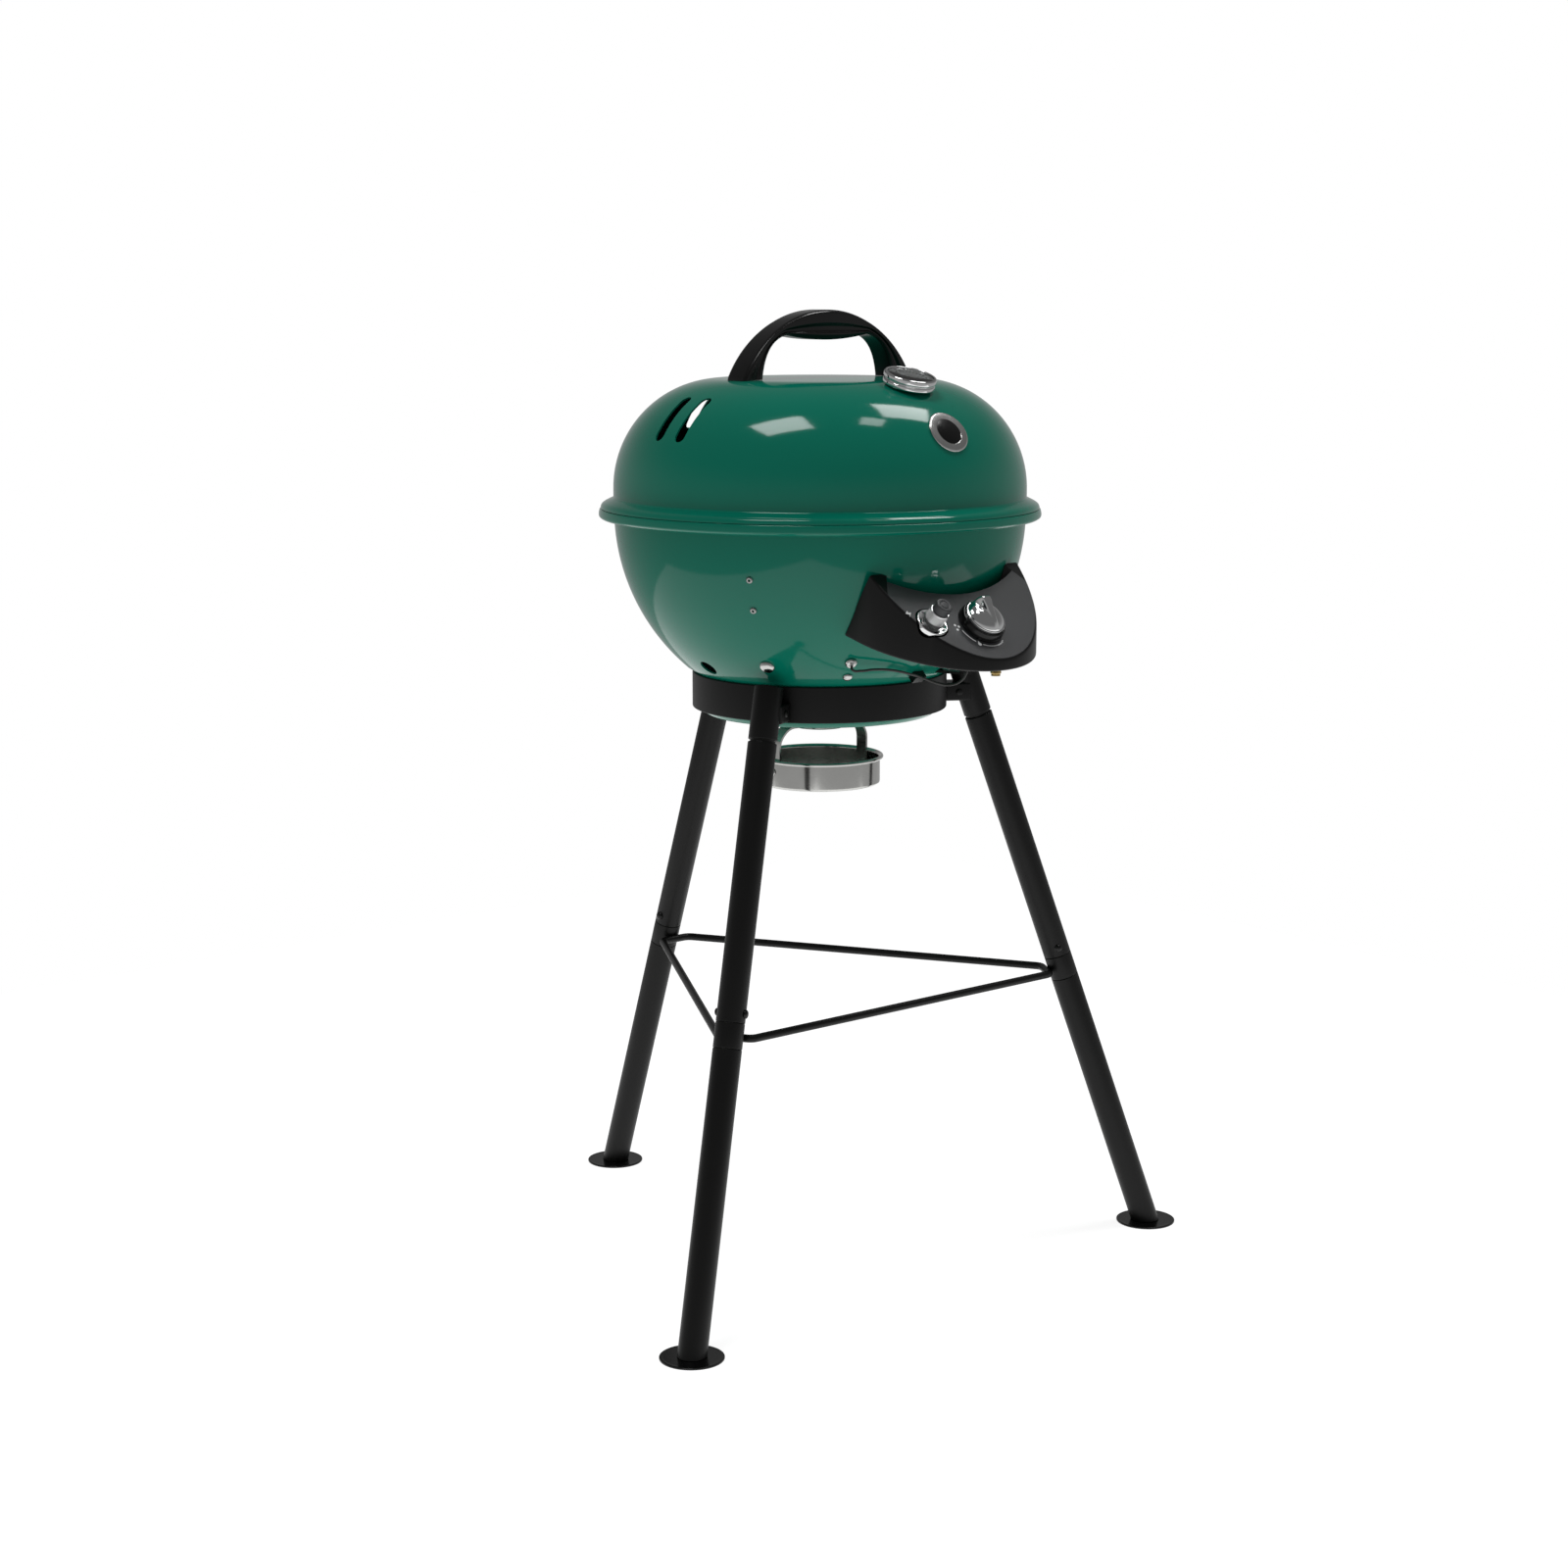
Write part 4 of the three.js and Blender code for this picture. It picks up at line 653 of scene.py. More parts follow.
def slab(mesh, low, high, place, edge=0.0008):
    """A block between two corners of the place's own frame, with its edges eased."""
    made = bmesh.ops.create_cube(mesh, size=1)
    middle = (Vector(low) + Vector(high)) / 2
    size = Vector(high) - Vector(low)
    bmesh.ops.transform(mesh, matrix=place @ Matrix.Translation(middle) @ Matrix.Diagonal(
        (*size, 1)), verts=made["verts"])
    edges = list({e for vert in made["verts"] for e in vert.link_edges})
    bmesh.ops.bevel(mesh, geom=edges, offset=edge, segments=3, affect="EDGES", profile=0.5)


wall_inside = bowl_radius - bowl_wall - 0.0009
for side, azimuth in leg_azimuths.items():
    support = bmesh.new()
    bent_strip(support, azimuth, 0.692, 0.748, 0.018, support_wall, wall_inside)
    about = axis @ Matrix.Rotation(math.radians(azimuth), 4, "Z")
    for shelf in (0.708, 0.748):
        reach = math.sqrt(wall_inside ** 2 - (shelf - bowl_centre) ** 2) - 0.0022
        slab(support, (reach - 0.013, -0.009, shelf - support_wall), (reach, 0.009, shelf), about)
    piece(f"support_{side}", support, polished_steel, "stand", [f"grate_support_{side}"])
    rivets = bmesh.new()
    for height in (0.7315, 0.7009):
        add_turned(rivets, [(0, -0.003), (0.0026, -0.003), (0.0026, 0.0003), (0.0034, 0.0003),
                            (0.0034, 0.0008), (0.0030, 0.0016), (0.0024, 0.0020),
                            (0.0015, 0.0020), (0.0012, 0.0017), (0.0011, -0.0012),
                            (0, -0.0014)], on_bowl(azimuth, height), 32)
    piece(f"rivets_{side}", rivets, dull_silver, "stand", [])

# ---------------------------------------------------------------- ring burner
# A steel tube ring with gas ports on top, on three arms bolted through the bowl. The venturi
# tube carries gas and air to it from the valve.
burner_steel = finish("burner_steel", (0.42, 0.40, 0.38), 0.3, 1.0, shade=0.7, grain=0.0015,
                      depth=0.00003, cloud=0.025, spread=0.1)
burner_radius, burner_tube, burner_z = 0.072, 0.008, 0.632
burner = bmesh.new()
ring_path = [(burner_radius + burner_tube * math.cos(2 * math.pi * i / 24),
              burner_z + burner_tube * math.sin(2 * math.pi * i / 24)) for i in range(24)]
add_turned(burner, ring_path, axis, 96, closed=True)
for azimuth in leg_azimuths.values():
    about = axis @ Matrix.Rotation(math.radians(azimuth), 4, "Z")
    reach = math.sqrt(wall_inside ** 2 - (burner_z - bowl_centre) ** 2) - 0.002
    slab(burner, (burner_radius, -0.008, burner_z - 0.00125), (reach, 0.008, burner_z + 0.00125),
         about, 0.0005)
    bent_strip(burner, azimuth, burner_z, 0.652, 0.016, 0.0025, wall_inside)
port = bmesh.new()
add_turned(port, [(0.0011, 0), (0.0011, 0.0006), (0.0018, 0.0006), (0.0021, 0)],
           Matrix.Translation((burner_radius, 0, burner_tube - 0.0003)), 12, closed=True)
ports = round_copies("gas_ports", to_data("gas_port", port), 36, burner_steel)
ports.transform(axis @ Matrix.Translation((0, 0, burner_z)))
burner.from_mesh(ports)
socket_out = facing((knob_x, kettle_y - burner_radius, burner_z), (0, -1, 0))
add_turned(burner, softened([(0, 0), (0.010, 0), (0.010, 0.016), (0.0083, 0.016), (0.0083, 0.009),
                             (0, 0.009)], 0.0008), socket_out, 48)
piece("burner", burner, burner_steel, "stand", ["ring_burner"])

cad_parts["venturi_tube"].material_slots[0].material = burner_steel

# ---------------------------------------------------------------- electrode and burner bolt
# The spark electrode's steel terminal screws through the bowl wall, beside the small bolt that
# steadies the burner.
electrode = bmesh.new()
add_turned(electrode, softened([(0, -0.026), (0.0034, -0.026), (0.0034, 0.0003), (0.006, 0.0003),
                                (0.006, 0.0022), (0.0044, 0.004), (0.0018, 0.0042),
                                (0.0018, terminal_top), (0, terminal_top)], 0.0005),
           electrode_place, 40)
add_turned(electrode, [(0, -0.052), (0.0011, -0.0515), (0.0012, -0.025), (0, -0.025)],
           electrode_place, 16)
piece("spark_electrode", electrode, polished_steel, "stand", ["electrode"])
small_bolt = bmesh.new()
add_turned(small_bolt, [(0, -0.009), (0.0025, -0.009), (0.0025, 0.0003), (0.005, 0.0003),
                        (0.005, 0.0009), *dome(0.0048, 0.0026, 0.0009)[1:]],
           on_bowl(-119.7, 0.6305), 40)
piece("steady_bolt", small_bolt, polished_steel, "stand", ["burner_bolt"])

# ---------------------------------------------------------------- control box
# An injection-moulded black shell with a round front. It is open at the top, where the grey panel
# drops in, and follows the bowl at the back.
box_radius = 0.0997
panel_thickness = 0.0025
box_black = finish("box_black_plastic", (0.0038, 0.0038, 0.0037), 0.36, grain=0.0012,
                   depth=0.00004, cloud=0.05, gloss=0.27)


def box_column(inset, low=0.60, high=0.80, back=0.078, steps=96):
    """The plan of the box as a tall closed column, inset from the outside."""
    radius = box_radius - inset
    middle = box_middle_y + kettle_y
    plan = [(radius * math.cos(math.pi * (1 + i / steps)),
             middle + radius * math.sin(math.pi * (1 + i / steps))) for i in range(steps + 1)]
    plan += [(radius, middle + back), (-radius, middle + back)]
    column = bmesh.new()
    add_prism(column, plan, Matrix.Identity(4), low, high)
    return column


def sliced(mesh, point, normal):
    """Cuts away what lies on the far side of the plane and closes the cut."""
    made = bmesh.ops.bisect_plane(mesh, geom=mesh.verts[:] + mesh.edges[:] + mesh.faces[:],
                                  plane_co=point, plane_no=normal, clear_outer=True)
    rim = [edge for edge in made["geom_cut"] if isinstance(edge, bmesh.types.BMEdge)]
    bmesh.ops.holes_fill(mesh, edges=rim)


panel_out = Vector((0, -math.sin(panel_tilt), math.cos(panel_tilt)))
floor_down = Vector((0, floor_slope, -1)).normalized()
panel_point = Vector((0, box_middle_y + kettle_y, panel_middle))
floor_point = Vector((0, box_middle_y + kettle_y, floor_middle))
ear_forward, ear_height = 0.014, 0.738
ear_point = Vector((0, box_middle_y + kettle_y - ear_forward, ear_height))
ear_back = Vector((0, 0.856, 0.518))
corner_forward, corner_x = 0.0224, 0.0849
corner_out, corner_back = 0.779, 0.626


def square_corners(mesh):
    """Cuts both rear corners off on the slant, where a ledge of the shell takes their place."""
    for hand in (-1, 1):
        at = (hand * corner_x, box_middle_y + kettle_y - corner_forward, panel_middle)
        sliced(mesh, at, (hand * corner_out, corner_back, 0))


outer = box_column(0)
sliced(outer, panel_point - panel_out * 0.0004, panel_out)
sliced(outer, floor_point, floor_down)
rims = [edge for edge in outer.edges if len(edge.link_faces) == 2
        and edge.calc_face_angle(0) > math.radians(25)]
bmesh.ops.bevel(outer, geom=rims, offset=0.0022, segments=5, affect="EDGES", profile=0.5)
inner = box_column(0.0025)
sliced(inner, floor_point - floor_down * 0.0025, floor_down)
square_corners(inner)
recess = box_column(0.0012)
sliced(recess, panel_point - panel_out * (panel_thickness + 0.0003), -panel_out)
square_corners(recess)
ears = box_column(-0.02)
sliced(ears, ear_point, -ear_back)
bowl_clear = bmesh.new()
bowl_side = sphere_side(bowl_radius + 0.001)
add_turned(bowl_clear, [(0, sump_top - 0.05), (bowl_side[0][0], sump_top - 0.05), *bowl_side,
                        (bowl_side[-1][0], 0.85), (0, 0.85)], axis, 256)
well_radius, igniter_x, igniter_forward = 0.018, -0.0615, 0.0612


def well(radius, depth, place):
    """A round cutter sunk into the panel."""
    cutter = bmesh.new()
    add_turned(cutter, [(0, -depth), (radius, -depth), (radius, 0.03), (0, 0.03)], place, 64)
    return to_data("well", cutter)


igniter_place = panel_place(igniter_x, igniter_forward)
knob_place = panel_place(knob_x, knob_forward)
shell = cut_out(to_data("box_outer", outer), [
    to_data("box_inner", inner), to_data("box_recess", recess), to_data("bowl_clear", bowl_clear),
    to_data("box_ears", ears), well(well_radius, 0.009, igniter_place)])
piece("box_shell", shell, box_black, "stand", ["control_box"], crease=28)

# ---------------------------------------------------------------- control panel
# A fine-grained grey plate set just below the shell's edge, with a curved rear edge that follows
# the bowl, and a notch where the igniter's dish breaks the front edge.
panel_grey = finish("panel_grey_plastic", (0.045, 0.047, 0.050), 0.42, grain=0.0005,
                    depth=0.00006, cloud=0.04, gloss=0.5, spread=0.05)
plate = box_column(0.0015)
sliced(plate, panel_point - panel_out * 0.0002, panel_out)
sliced(plate, panel_point - panel_out * panel_thickness, -panel_out)
square_corners(plate)
rear_cut = bmesh.new()
add_turned(rear_cut, [(0, 0.5), (0.2135, 0.5), (0.2135, 1.0), (0, 1.0)], axis, 256)
plate = cut_out(to_data("panel_blank", plate), [
    to_data("rear_cut", rear_cut), well(well_radius, 0.02, igniter_place),
    well(0.005, 0.02, knob_place)])
panel = piece("panel_plate", plate, panel_grey, "stand", ["control_panel"])
eased = panel.modifiers.new("eased", "BEVEL")
eased.width = 0.0006
eased.segments = 3
eased.limit_method = "ANGLE"
eased.harden_normals = True

# ---------------------------------------------------------------- panel marks
# Printed in white: an arc round the knob with an end tick, a small flame, three dots for the
# lighting position and a spark beside the igniter.
print_white = finish("printed_white", (0.80, 0.81, 0.81), 0.5, grain=0.0006, depth=0.00001)
marks = bmesh.new()
ink = 0.00006


def flat_mark(outline, place):
    """A thin printed shape on the panel."""
    add_prism(marks, outline, place, -0.0001, ink)


def arc_mark(radius, width, start, end, place, steps=40):
    """A printed arc, with its angles in degrees."""
    angles = [math.radians(start + (end - start) * i / steps) for i in range(steps + 1)]
    outer_edge = [((radius + width / 2) * math.cos(a), (radius + width / 2) * math.sin(a))
                  for a in angles]
    inner_edge = [((radius - width / 2) * math.cos(a), (radius - width / 2) * math.sin(a))
                  for a in angles]
    flat_mark(outer_edge + inner_edge[::-1], place)


face = knob_place @ Matrix.Translation((0, 0, -0.0002))
arc_mark(0.0275, 0.0012, 190, 226, face)
arc_mark(0.0275, 0.0012, 242, 300, face)
flat_mark([(0.0120, -0.0250), (0.0152, -0.0222), (0.0147, -0.0216), (0.0115, -0.0244)], face)
for angle, reach in ((180, 0.0285), (186, 0.0325), (176, 0.0322)):
    spot = (reach * math.cos(math.radians(angle)), reach * math.sin(math.radians(angle)))
    flat_mark([(spot[0] + 0.0014 * math.cos(k * math.pi / 8),
                spot[1] + 0.0014 * math.sin(k * math.pi / 8)) for k in range(16)], face)
flame = face @ Matrix.Translation((-0.0165, -0.0225, 0)) @ Matrix.Scale(1.5, 4)
flat_mark([(0, -0.0022), (0.0013, -0.0014), (0.0014, -0.0002), (0.0007, 0.0008), (0.0003, 0.0024),
           (-0.0005, 0.0012), (-0.0008, 0.0004), (-0.0014, -0.0004), (-0.0012, -0.0015)], flame)
spark = panel_place(igniter_x - 0.021, igniter_forward - 0.010)
spark = spark @ Matrix.Translation((0, 0, -0.0002)) @ Matrix.Scale(1.7, 4)
flat_mark([(-0.0022, 0.0004), (0.0002, 0.0022), (0, 0.0008), (0.0022, 0.0006), (-0.0004, -0.0022),
           (0.0001, -0.0006)], spark)
piece("panel_print", marks, print_white, "stand", [])

# ---------------------------------------------------------------- gas knob
# A chrome-plated knob with a raised wedge to grip. It sinks into a fixed black bezel when it is
# pushed, and turns on the valve's steel stem.
chrome_plate = finish("chrome_plate", (0.74, 0.745, 0.745), 0.05, 1.0, shade=0.97, grain=0.003,
                      depth=0.000004, cloud=0.03, spread=0.02)
knob_radius = 0.021
bezel_top = 0.0088
ring_top = 0.012
bezel = bmesh.new()
add_turned(bezel, softened([(knob_radius + 0.0003, 0.0003), (0.0245, 0.0003), (0.0240, 0.004),
                            (0.0228, bezel_top), (knob_radius + 0.0003, bezel_top)], 0.0009,
                           closed=True), knob_place, 96, closed=True)
piece("bezel_ring", bezel, black_gloss, "stand", ["knob_bezel"])


def knob_height(x, y):
    """The knob's top face: a low dome under a smooth wedge, high and broad at the back."""
    low_dome = 0.0075 * math.sqrt(max(1 - (math.hypot(x, y) / 0.0195) ** 2, 0))
    along = min(max((y + 0.018) / 0.036, 0), 1)
    half = 0.0045 + 0.0045 * along
    side = min(max((abs(x) - half + 0.0042) / 0.0048, 0), 1)
    end = min(max(abs(y) - 0.0115, 0) / 0.0068, 1)
    crest = 0.0055 + 0.0112 * along
    wedge = crest * (1 - side * side * (3 - 2 * side)) * math.sqrt(1 - end ** 2)
    keen = 1200
    return math.log(math.exp(keen * low_dome) + math.exp(keen * wedge)) / keen - math.log(
        2) / keen


knob = bmesh.new()
rings = [[knob.verts.new(knob_place @ Vector((0, 0, ring_top + knob_height(0, 0))))]]
for step in range(1, 41):
    reach = 0.0195 * step / 40
    rings.append([knob.verts.new(knob_place @ Vector((
        reach * math.cos(2 * math.pi * i / 128), reach * math.sin(2 * math.pi * i / 128),
        ring_top + max(knob_height(reach * math.cos(2 * math.pi * i / 128),
                                   reach * math.sin(2 * math.pi * i / 128)), 0))))
                  for i in range(128)])
skirt = softened([(0.0195, ring_top), (knob_radius, ring_top), (knob_radius, 0.0041),
                  (0.0043, 0.0041)], 0.0009)[1:]
for radius, height in skirt:
    rings.append([knob.verts.new(knob_place @ Vector((
        radius * math.cos(2 * math.pi * i / 128), radius * math.sin(2 * math.pi * i / 128),
        height))) for i in range(128)])
for low, high in zip(rings, rings[1:]):
    for i in range(128):
        corners = [low[i % len(low)], low[(i + 1) % 128 % len(low)], high[(i + 1) % 128], high[i]]
        knob.faces.new(list(dict.fromkeys(corners)))
knob.faces.new(rings[-1])
piece("chrome_knob", knob, chrome_plate, "knob", ["gas_knob"], crease=55)
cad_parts["knob_stem"].material_slots[0].material = polished_steel

# ---------------------------------------------------------------- igniter
# A chromed dish sunk in the panel, a knurled chrome barrel with painted shade in its grooves,
# and a dark push button on top. The piezo unit hangs below.
button_grey = finish("button_grey", (0.030, 0.032, 0.035), 0.42, grain=0.0006, depth=0.00004)
dish = bmesh.new()
add_turned(dish, softened([(0.0103, -0.007), (0.0134, -0.007), (0.0164, -0.004), (0.0164, 0.0008),
                           (0.0156, 0.0015), (0.0146, 0.0008), (0.0118, -0.0032),
                           (0.0103, -0.0035)], 0.0012, closed=True), igniter_place, 96,
           closed=True)
piece("igniter_cup", dish, chrome_plate, "stand", ["igniter_dish"])
# A black sleeve inside the knurl is painted shade: it makes the gaps between the chrome ribs read
# dark.
core = bmesh.new()
add_turned(core, softened([(0.0086, -0.007), (0.0092, -0.007), (0.0092, 0.0145),
                           (0.0086, 0.0145)], 0.0002, closed=True), igniter_place, 96, closed=True)
piece("barrel_painted_groove_shade", core, black_gloss, "stand", [])
barrel = bmesh.new()
add_turned(barrel, softened([(0.0086, 0.0147), (0.0096, 0.0147), (0.0100, 0.0157),
                             (0.0095, 0.017), (0.0086, 0.017)], 0.0006, closed=True),
           igniter_place, 96, closed=True)
rib = bmesh.new()
slab(rib, (0.0090, -0.0006, -0.0020), (0.01, 0.0006, 0.0150), Matrix.Identity(4), 0.0003)
ribs = round_copies("knurl", to_data("rib", rib), 30, chrome_plate)
ribs.transform(igniter_place)
barrel.from_mesh(ribs)
piece("knurled_barrel", barrel, chrome_plate, "stand", ["igniter_barrel"])
button = bmesh.new()
add_turned(button, softened([(0, 0.005), (0.0083, 0.005), (0.0083, 0.026), (0.0052, 0.026),
                             (0.0048, 0.0256), (0.0042, 0.0256), (0.0038, 0.026), (0, 0.026)],
                            0.0009), igniter_place, 64)
piece("push_button", button, button_grey, "igniter", ["igniter_button"])

# ---------------------------------------------------------------- cooking grate and funnel
# A round rim with parallel bars and two cross ties, enamelled dark. Under it a pressed sheet
# funnel sheds drips past the burner.
grate_iron = finish("grate_enamel", (0.022, 0.022, 0.023), 0.4, 0.3, shade=0.6, grain=0.001,
                    depth=0.00008, cloud=0.02, spread=0.12)
grate_radius, bar_pitch, grate_z = 0.199, 0.014, 0.7513


def grate_bars(count, pitch, radius, bar_radius):
    """Bars side by side, each cut to the length of its chord."""
    tree, given, (count_socket, pitch_socket, reach_socket) = node_tree(
        "grate_bars", [("Count", "Int"), ("Pitch", "Float"), ("Reach", "Float")])
    nodes = tree.nodes
    line = nodes.new("GeometryNodeMeshLine")
    line.inputs["Start Location"].default_value = (-(count - 1) * pitch / 2, 0, 0)
    offset = nodes.new("ShaderNodeCombineXYZ")
    place = nodes.new("GeometryNodeInputPosition")
    split = nodes.new("ShaderNodeSeparateXYZ")
    square, reach_square, rest, root = [nodes.new("ShaderNodeMath") for _ in range(4)]
    square.operation = reach_square.operation = "MULTIPLY"
    rest.operation = "SUBTRACT"
    root.operation = "SQRT"
    size = nodes.new("ShaderNodeCombineXYZ")
    size.inputs["X"].default_value = size.inputs["Z"].default_value = 1
    stand = nodes.new("GeometryNodeInstanceOnPoints")
    wire(tree, (given.outputs["Count"], line.inputs["Count"]),
         (given.outputs["Pitch"], offset.inputs["X"]),
         (offset.outputs["Vector"], line.inputs["Offset"]),
         (place.outputs["Position"], split.inputs["Vector"]),
         (split.outputs["X"], square.inputs[0]),
         (split.outputs["X"], square.inputs[1]),
         (given.outputs["Reach"], reach_square.inputs[0]),
         (given.outputs["Reach"], reach_square.inputs[1]),
         (reach_square.outputs[0], rest.inputs[0]),
         (square.outputs[0], rest.inputs[1]),
         (rest.outputs[0], root.inputs[0]),
         (root.outputs[0], size.inputs["Y"]),
         (line.outputs["Mesh"], stand.inputs["Points"]),
         (given.outputs["Start"], stand.inputs["Instance"]),
         (size.outputs["Vector"], stand.inputs["Scale"]))
    realized(tree, stand.outputs["Instances"], grate_iron)
    bar = bmesh.new()
    across = Matrix.Rotation(math.pi / 2, 4, "X")
    add_turned(bar, [(0, -1), (bar_radius, -1), (bar_radius, 1), (0, 1)], across, 16)
    return evaluated("grate_bars", to_data("bar", bar), tree,
                     {count_socket: count, pitch_socket: pitch, reach_socket: radius})


grate = bmesh.new()
rim_wire = [(grate_radius - 0.003 + 0.003 * math.cos(2 * math.pi * i / 16),
             grate_z + 0.003 * math.sin(2 * math.pi * i / 16)) for i in range(16)]
add_turned(grate, rim_wire, axis, 192, closed=True)
bars = grate_bars(27, bar_pitch, grate_radius - 0.003, 0.002)
bars.transform(axis @ Matrix.Translation((0, 0, grate_z + 0.002)))
grate.from_mesh(bars)
ties = grate_bars(2, 0.16, grate_radius - 0.003, 0.0025)
ties.transform(axis @ Matrix.Translation((0, 0, grate_z - 0.001)) @ Matrix.Rotation(
    math.pi / 2, 4, "Z"))
grate.from_mesh(ties)
piece("grate_wires", grate, grate_iron, "grate", ["cooking_grate"])
funnel_enamel = finish("funnel_enamel", (0.012, 0.012, 0.013), 0.25, grain=0.003, depth=0.00002)
funnel = bmesh.new()
funnel_top = 0.7098
add_turned(funnel, softened([(0.188, funnel_top - 0.0015), (0.188, funnel_top),
                             (0.174, funnel_top), (0.062, funnel_top - 0.034),
                             (0.062, funnel_top - 0.0355), (0.064, funnel_top - 0.0355),
                             (0.174, funnel_top - 0.0015)], 0.0007, closed=True), axis, 160,
           closed=True)
piece("funnel_cone", funnel, funnel_enamel, "funnel", ["heat_funnel"])

# ---------------------------------------------------------------- lid
# Deep-drawn steel with a nearly flat crown and a round shoulder, enamelled like the bowl. Its
# flared lip sits on the bowl's flange, and pairs of slots let the smoke out on three sides.
lid_bottom = rim_under + rim_height + 0.0003
lid_radius = bowl_radius + 0.0006
lid_wall = 0.0018
shoulder_radius = 0.1115
shoulder_z = lid_bottom + 0.0195
crown_radius = lid_radius - shoulder_radius
crown_z = shoulder_z + shoulder_radius
crown_rise = 0.0009


def shoulder_arc(radius, steps=64):
    """The lid's shoulder from its straight wall up to the crown."""
    return [(crown_radius + radius * math.cos(math.pi / 2 * i / steps),
             shoulder_z + radius * math.sin(math.pi / 2 * i / steps)) for i in range(steps + 1)]


lip = softened([(lid_radius, lid_bottom + 0.014), (lid_radius, lid_bottom + 0.0106),
                (lid_radius + 0.0092, lid_bottom + 0.0062),
                (lid_radius + 0.0122, lid_bottom + 0.0040),
                (lid_radius + 0.0131, lid_bottom + 0.0016), (lid_radius + 0.0132, lid_bottom),
                (lid_radius + 0.0107, lid_bottom), (lid_radius + 0.0082, lid_bottom + 0.0035),
                (lid_radius - lid_wall, lid_bottom + 0.0085),
                (lid_radius - lid_wall, lid_bottom + 0.014)], 0.0022, 6)
over = shoulder_arc(shoulder_radius)
under = shoulder_arc(shoulder_radius - lid_wall)[::-1]
lid_outline = [(0, crown_z + crown_rise - lid_wall),
               *[(r, crown_z + crown_rise * (1 - (r / crown_radius) ** 2) - lid_wall)
                 for r in (0.03, 0.06, 0.08)], *under, *lip[::-1], *over,
               *[(r, crown_z + crown_rise * (1 - (r / crown_radius) ** 2))
                 for r in (0.08, 0.06, 0.03)], (0, crown_z + crown_rise)]
lid_mesh = bmesh.new()
add_turned(lid_mesh, lid_outline, axis, 288)
slot_reach = crown_radius + 0.0797
slot_height = shoulder_z + math.sqrt(shoulder_radius ** 2 - (slot_reach - crown_radius) ** 2)
slots = []
for azimuth in (180, 0, 90):
    for hand in (-1, 1):
        cutter = bmesh.new()
        half, radius = 0.02225, 0.00675
        plan = [(radius * math.cos(math.pi * i / 16), half + radius * math.sin(math.pi * i / 16))
                for i in range(17)]
        plan += [(-x, -y) for x, y in plan]
        out = outward(azimuth) + Vector((0, 0, 1))
        place = facing(polar(slot_reach, azimuth, slot_height), out)
        place = place @ Matrix.Translation((hand * 0.0158, 0, 0))
        add_prism(cutter, plan, place, -0.03, 0.03)
        slots.append(to_data("slot_cutter", cutter))
lid_data = cut_out(to_data("lid_shell", lid_mesh), slots)
lid_data.shade_smooth()
lid_data.set_sharp_from_angle(angle=math.radians(38))


def lid_normal(point):
    """Straight out from the middle of the shoulder's round, where the lid is that round."""
    flat = Vector((point[0], point[1] - kettle_y, 0))
    if point[2] < shoulder_z + 0.0005 or flat.length < crown_radius + 0.0005:
        return None
    middle = flat.normalized() * crown_radius
    return (flat + Vector((0, 0, point[2] - shoulder_z)) - middle).normalized()


follow_surface(lid_data, lid_normal)
piece("lid_shell", lid_data, green_enamel, "lid", ["lid"], shaded=False)

# ---------------------------------------------------------------- lid handle
# A moulded arch with a groove along each side and a swollen grip. Two screws from inside the
# lid hold its feet.
handle_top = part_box("lid_handle")[1][2]
handle_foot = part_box("lid_handle")[0][2]
handle_arc = 0.125
arc_middle = handle_top - handle_arc


def handle_station(t):
    """The outer and inner points of the arch and its width, from the left foot to the right."""
    foot_angle = math.asin((handle_foot - arc_middle) / handle_arc)
    angle = math.pi - foot_angle - (math.pi - 2 * foot_angle) * t
    over_arch = Vector((handle_arc * math.cos(angle), arc_middle + handle_arc * math.sin(angle)))
    side = -1 if t < 0.5 else 1
    u = min(t, 1 - t) * 2
    foot, knee, corner = Vector((0.086, 0)), Vector((0.082, 0.0368)), Vector((0.054, 0.0428))
    if u < 0.56:
        s = u / 0.56
        inner_arch = foot * (1 - s) ** 2 + knee * 2 * s * (1 - s) + corner * s ** 2
    else:
        s = (u - 0.56) / 0.44
        inner_arch = Vector((0.054 * (1 - s), 0.0376 + 0.0052 * (1 - s) ** 2))
    inner_arch = Vector((side * inner_arch.x, handle_foot + inner_arch.y))
    width = 0.031 - 0.003 * math.sin(math.pi * u) ** 2
    return over_arch, inner_arch, width


def lid_top(x, y):
    """The height of the lid's outer face over a point of its top."""
    reach = math.hypot(x, y)
    if reach < crown_radius:
        return crown_z + crown_rise * (1 - (reach / crown_radius) ** 2)
    return shoulder_z + math.sqrt(shoulder_radius ** 2 - (reach - crown_radius) ** 2)


handle = bmesh.new()
loops = []
stations = 144
flank = [(0, 0.40), (0.08, 0.5), (0.44, 0.5), (0.53, 0.41), (0.70, 0.41), (0.79, 0.47),
         (1, 0.40)]
section = softened([(depth, -share) for depth, share in flank] + flank[::-1], 0.045, 4,
                   closed=True)
for i in range(stations + 1):
    over_arch, inner_arch, width = handle_station(i / stations)
    loop = []
    for depth, across in section:
        at = over_arch.lerp(inner_arch, depth)
        height = lid_top(at.x, across * width) + 0.00025 if i in (0, stations) else at.y
        loop.append(handle.verts.new((at.x, kettle_y + across * width, height)))
    loops.append(loop)
for a, b in zip(loops, loops[1:]):
    for k in range(len(a)):
        handle.faces.new((a[k], a[(k + 1) % len(a)], b[(k + 1) % len(a)], b[k]))
handle.faces.new(loops[0])
handle.faces.new(loops[-1][::-1])
piece("handle_arch", handle, black_gloss, "lid", ["lid_handle"], crease=40)
turned_brass = finish("turned_brass", (0.50, 0.36, 0.14), 0.28, 1.0, grain=0.0009, depth=0.00002)
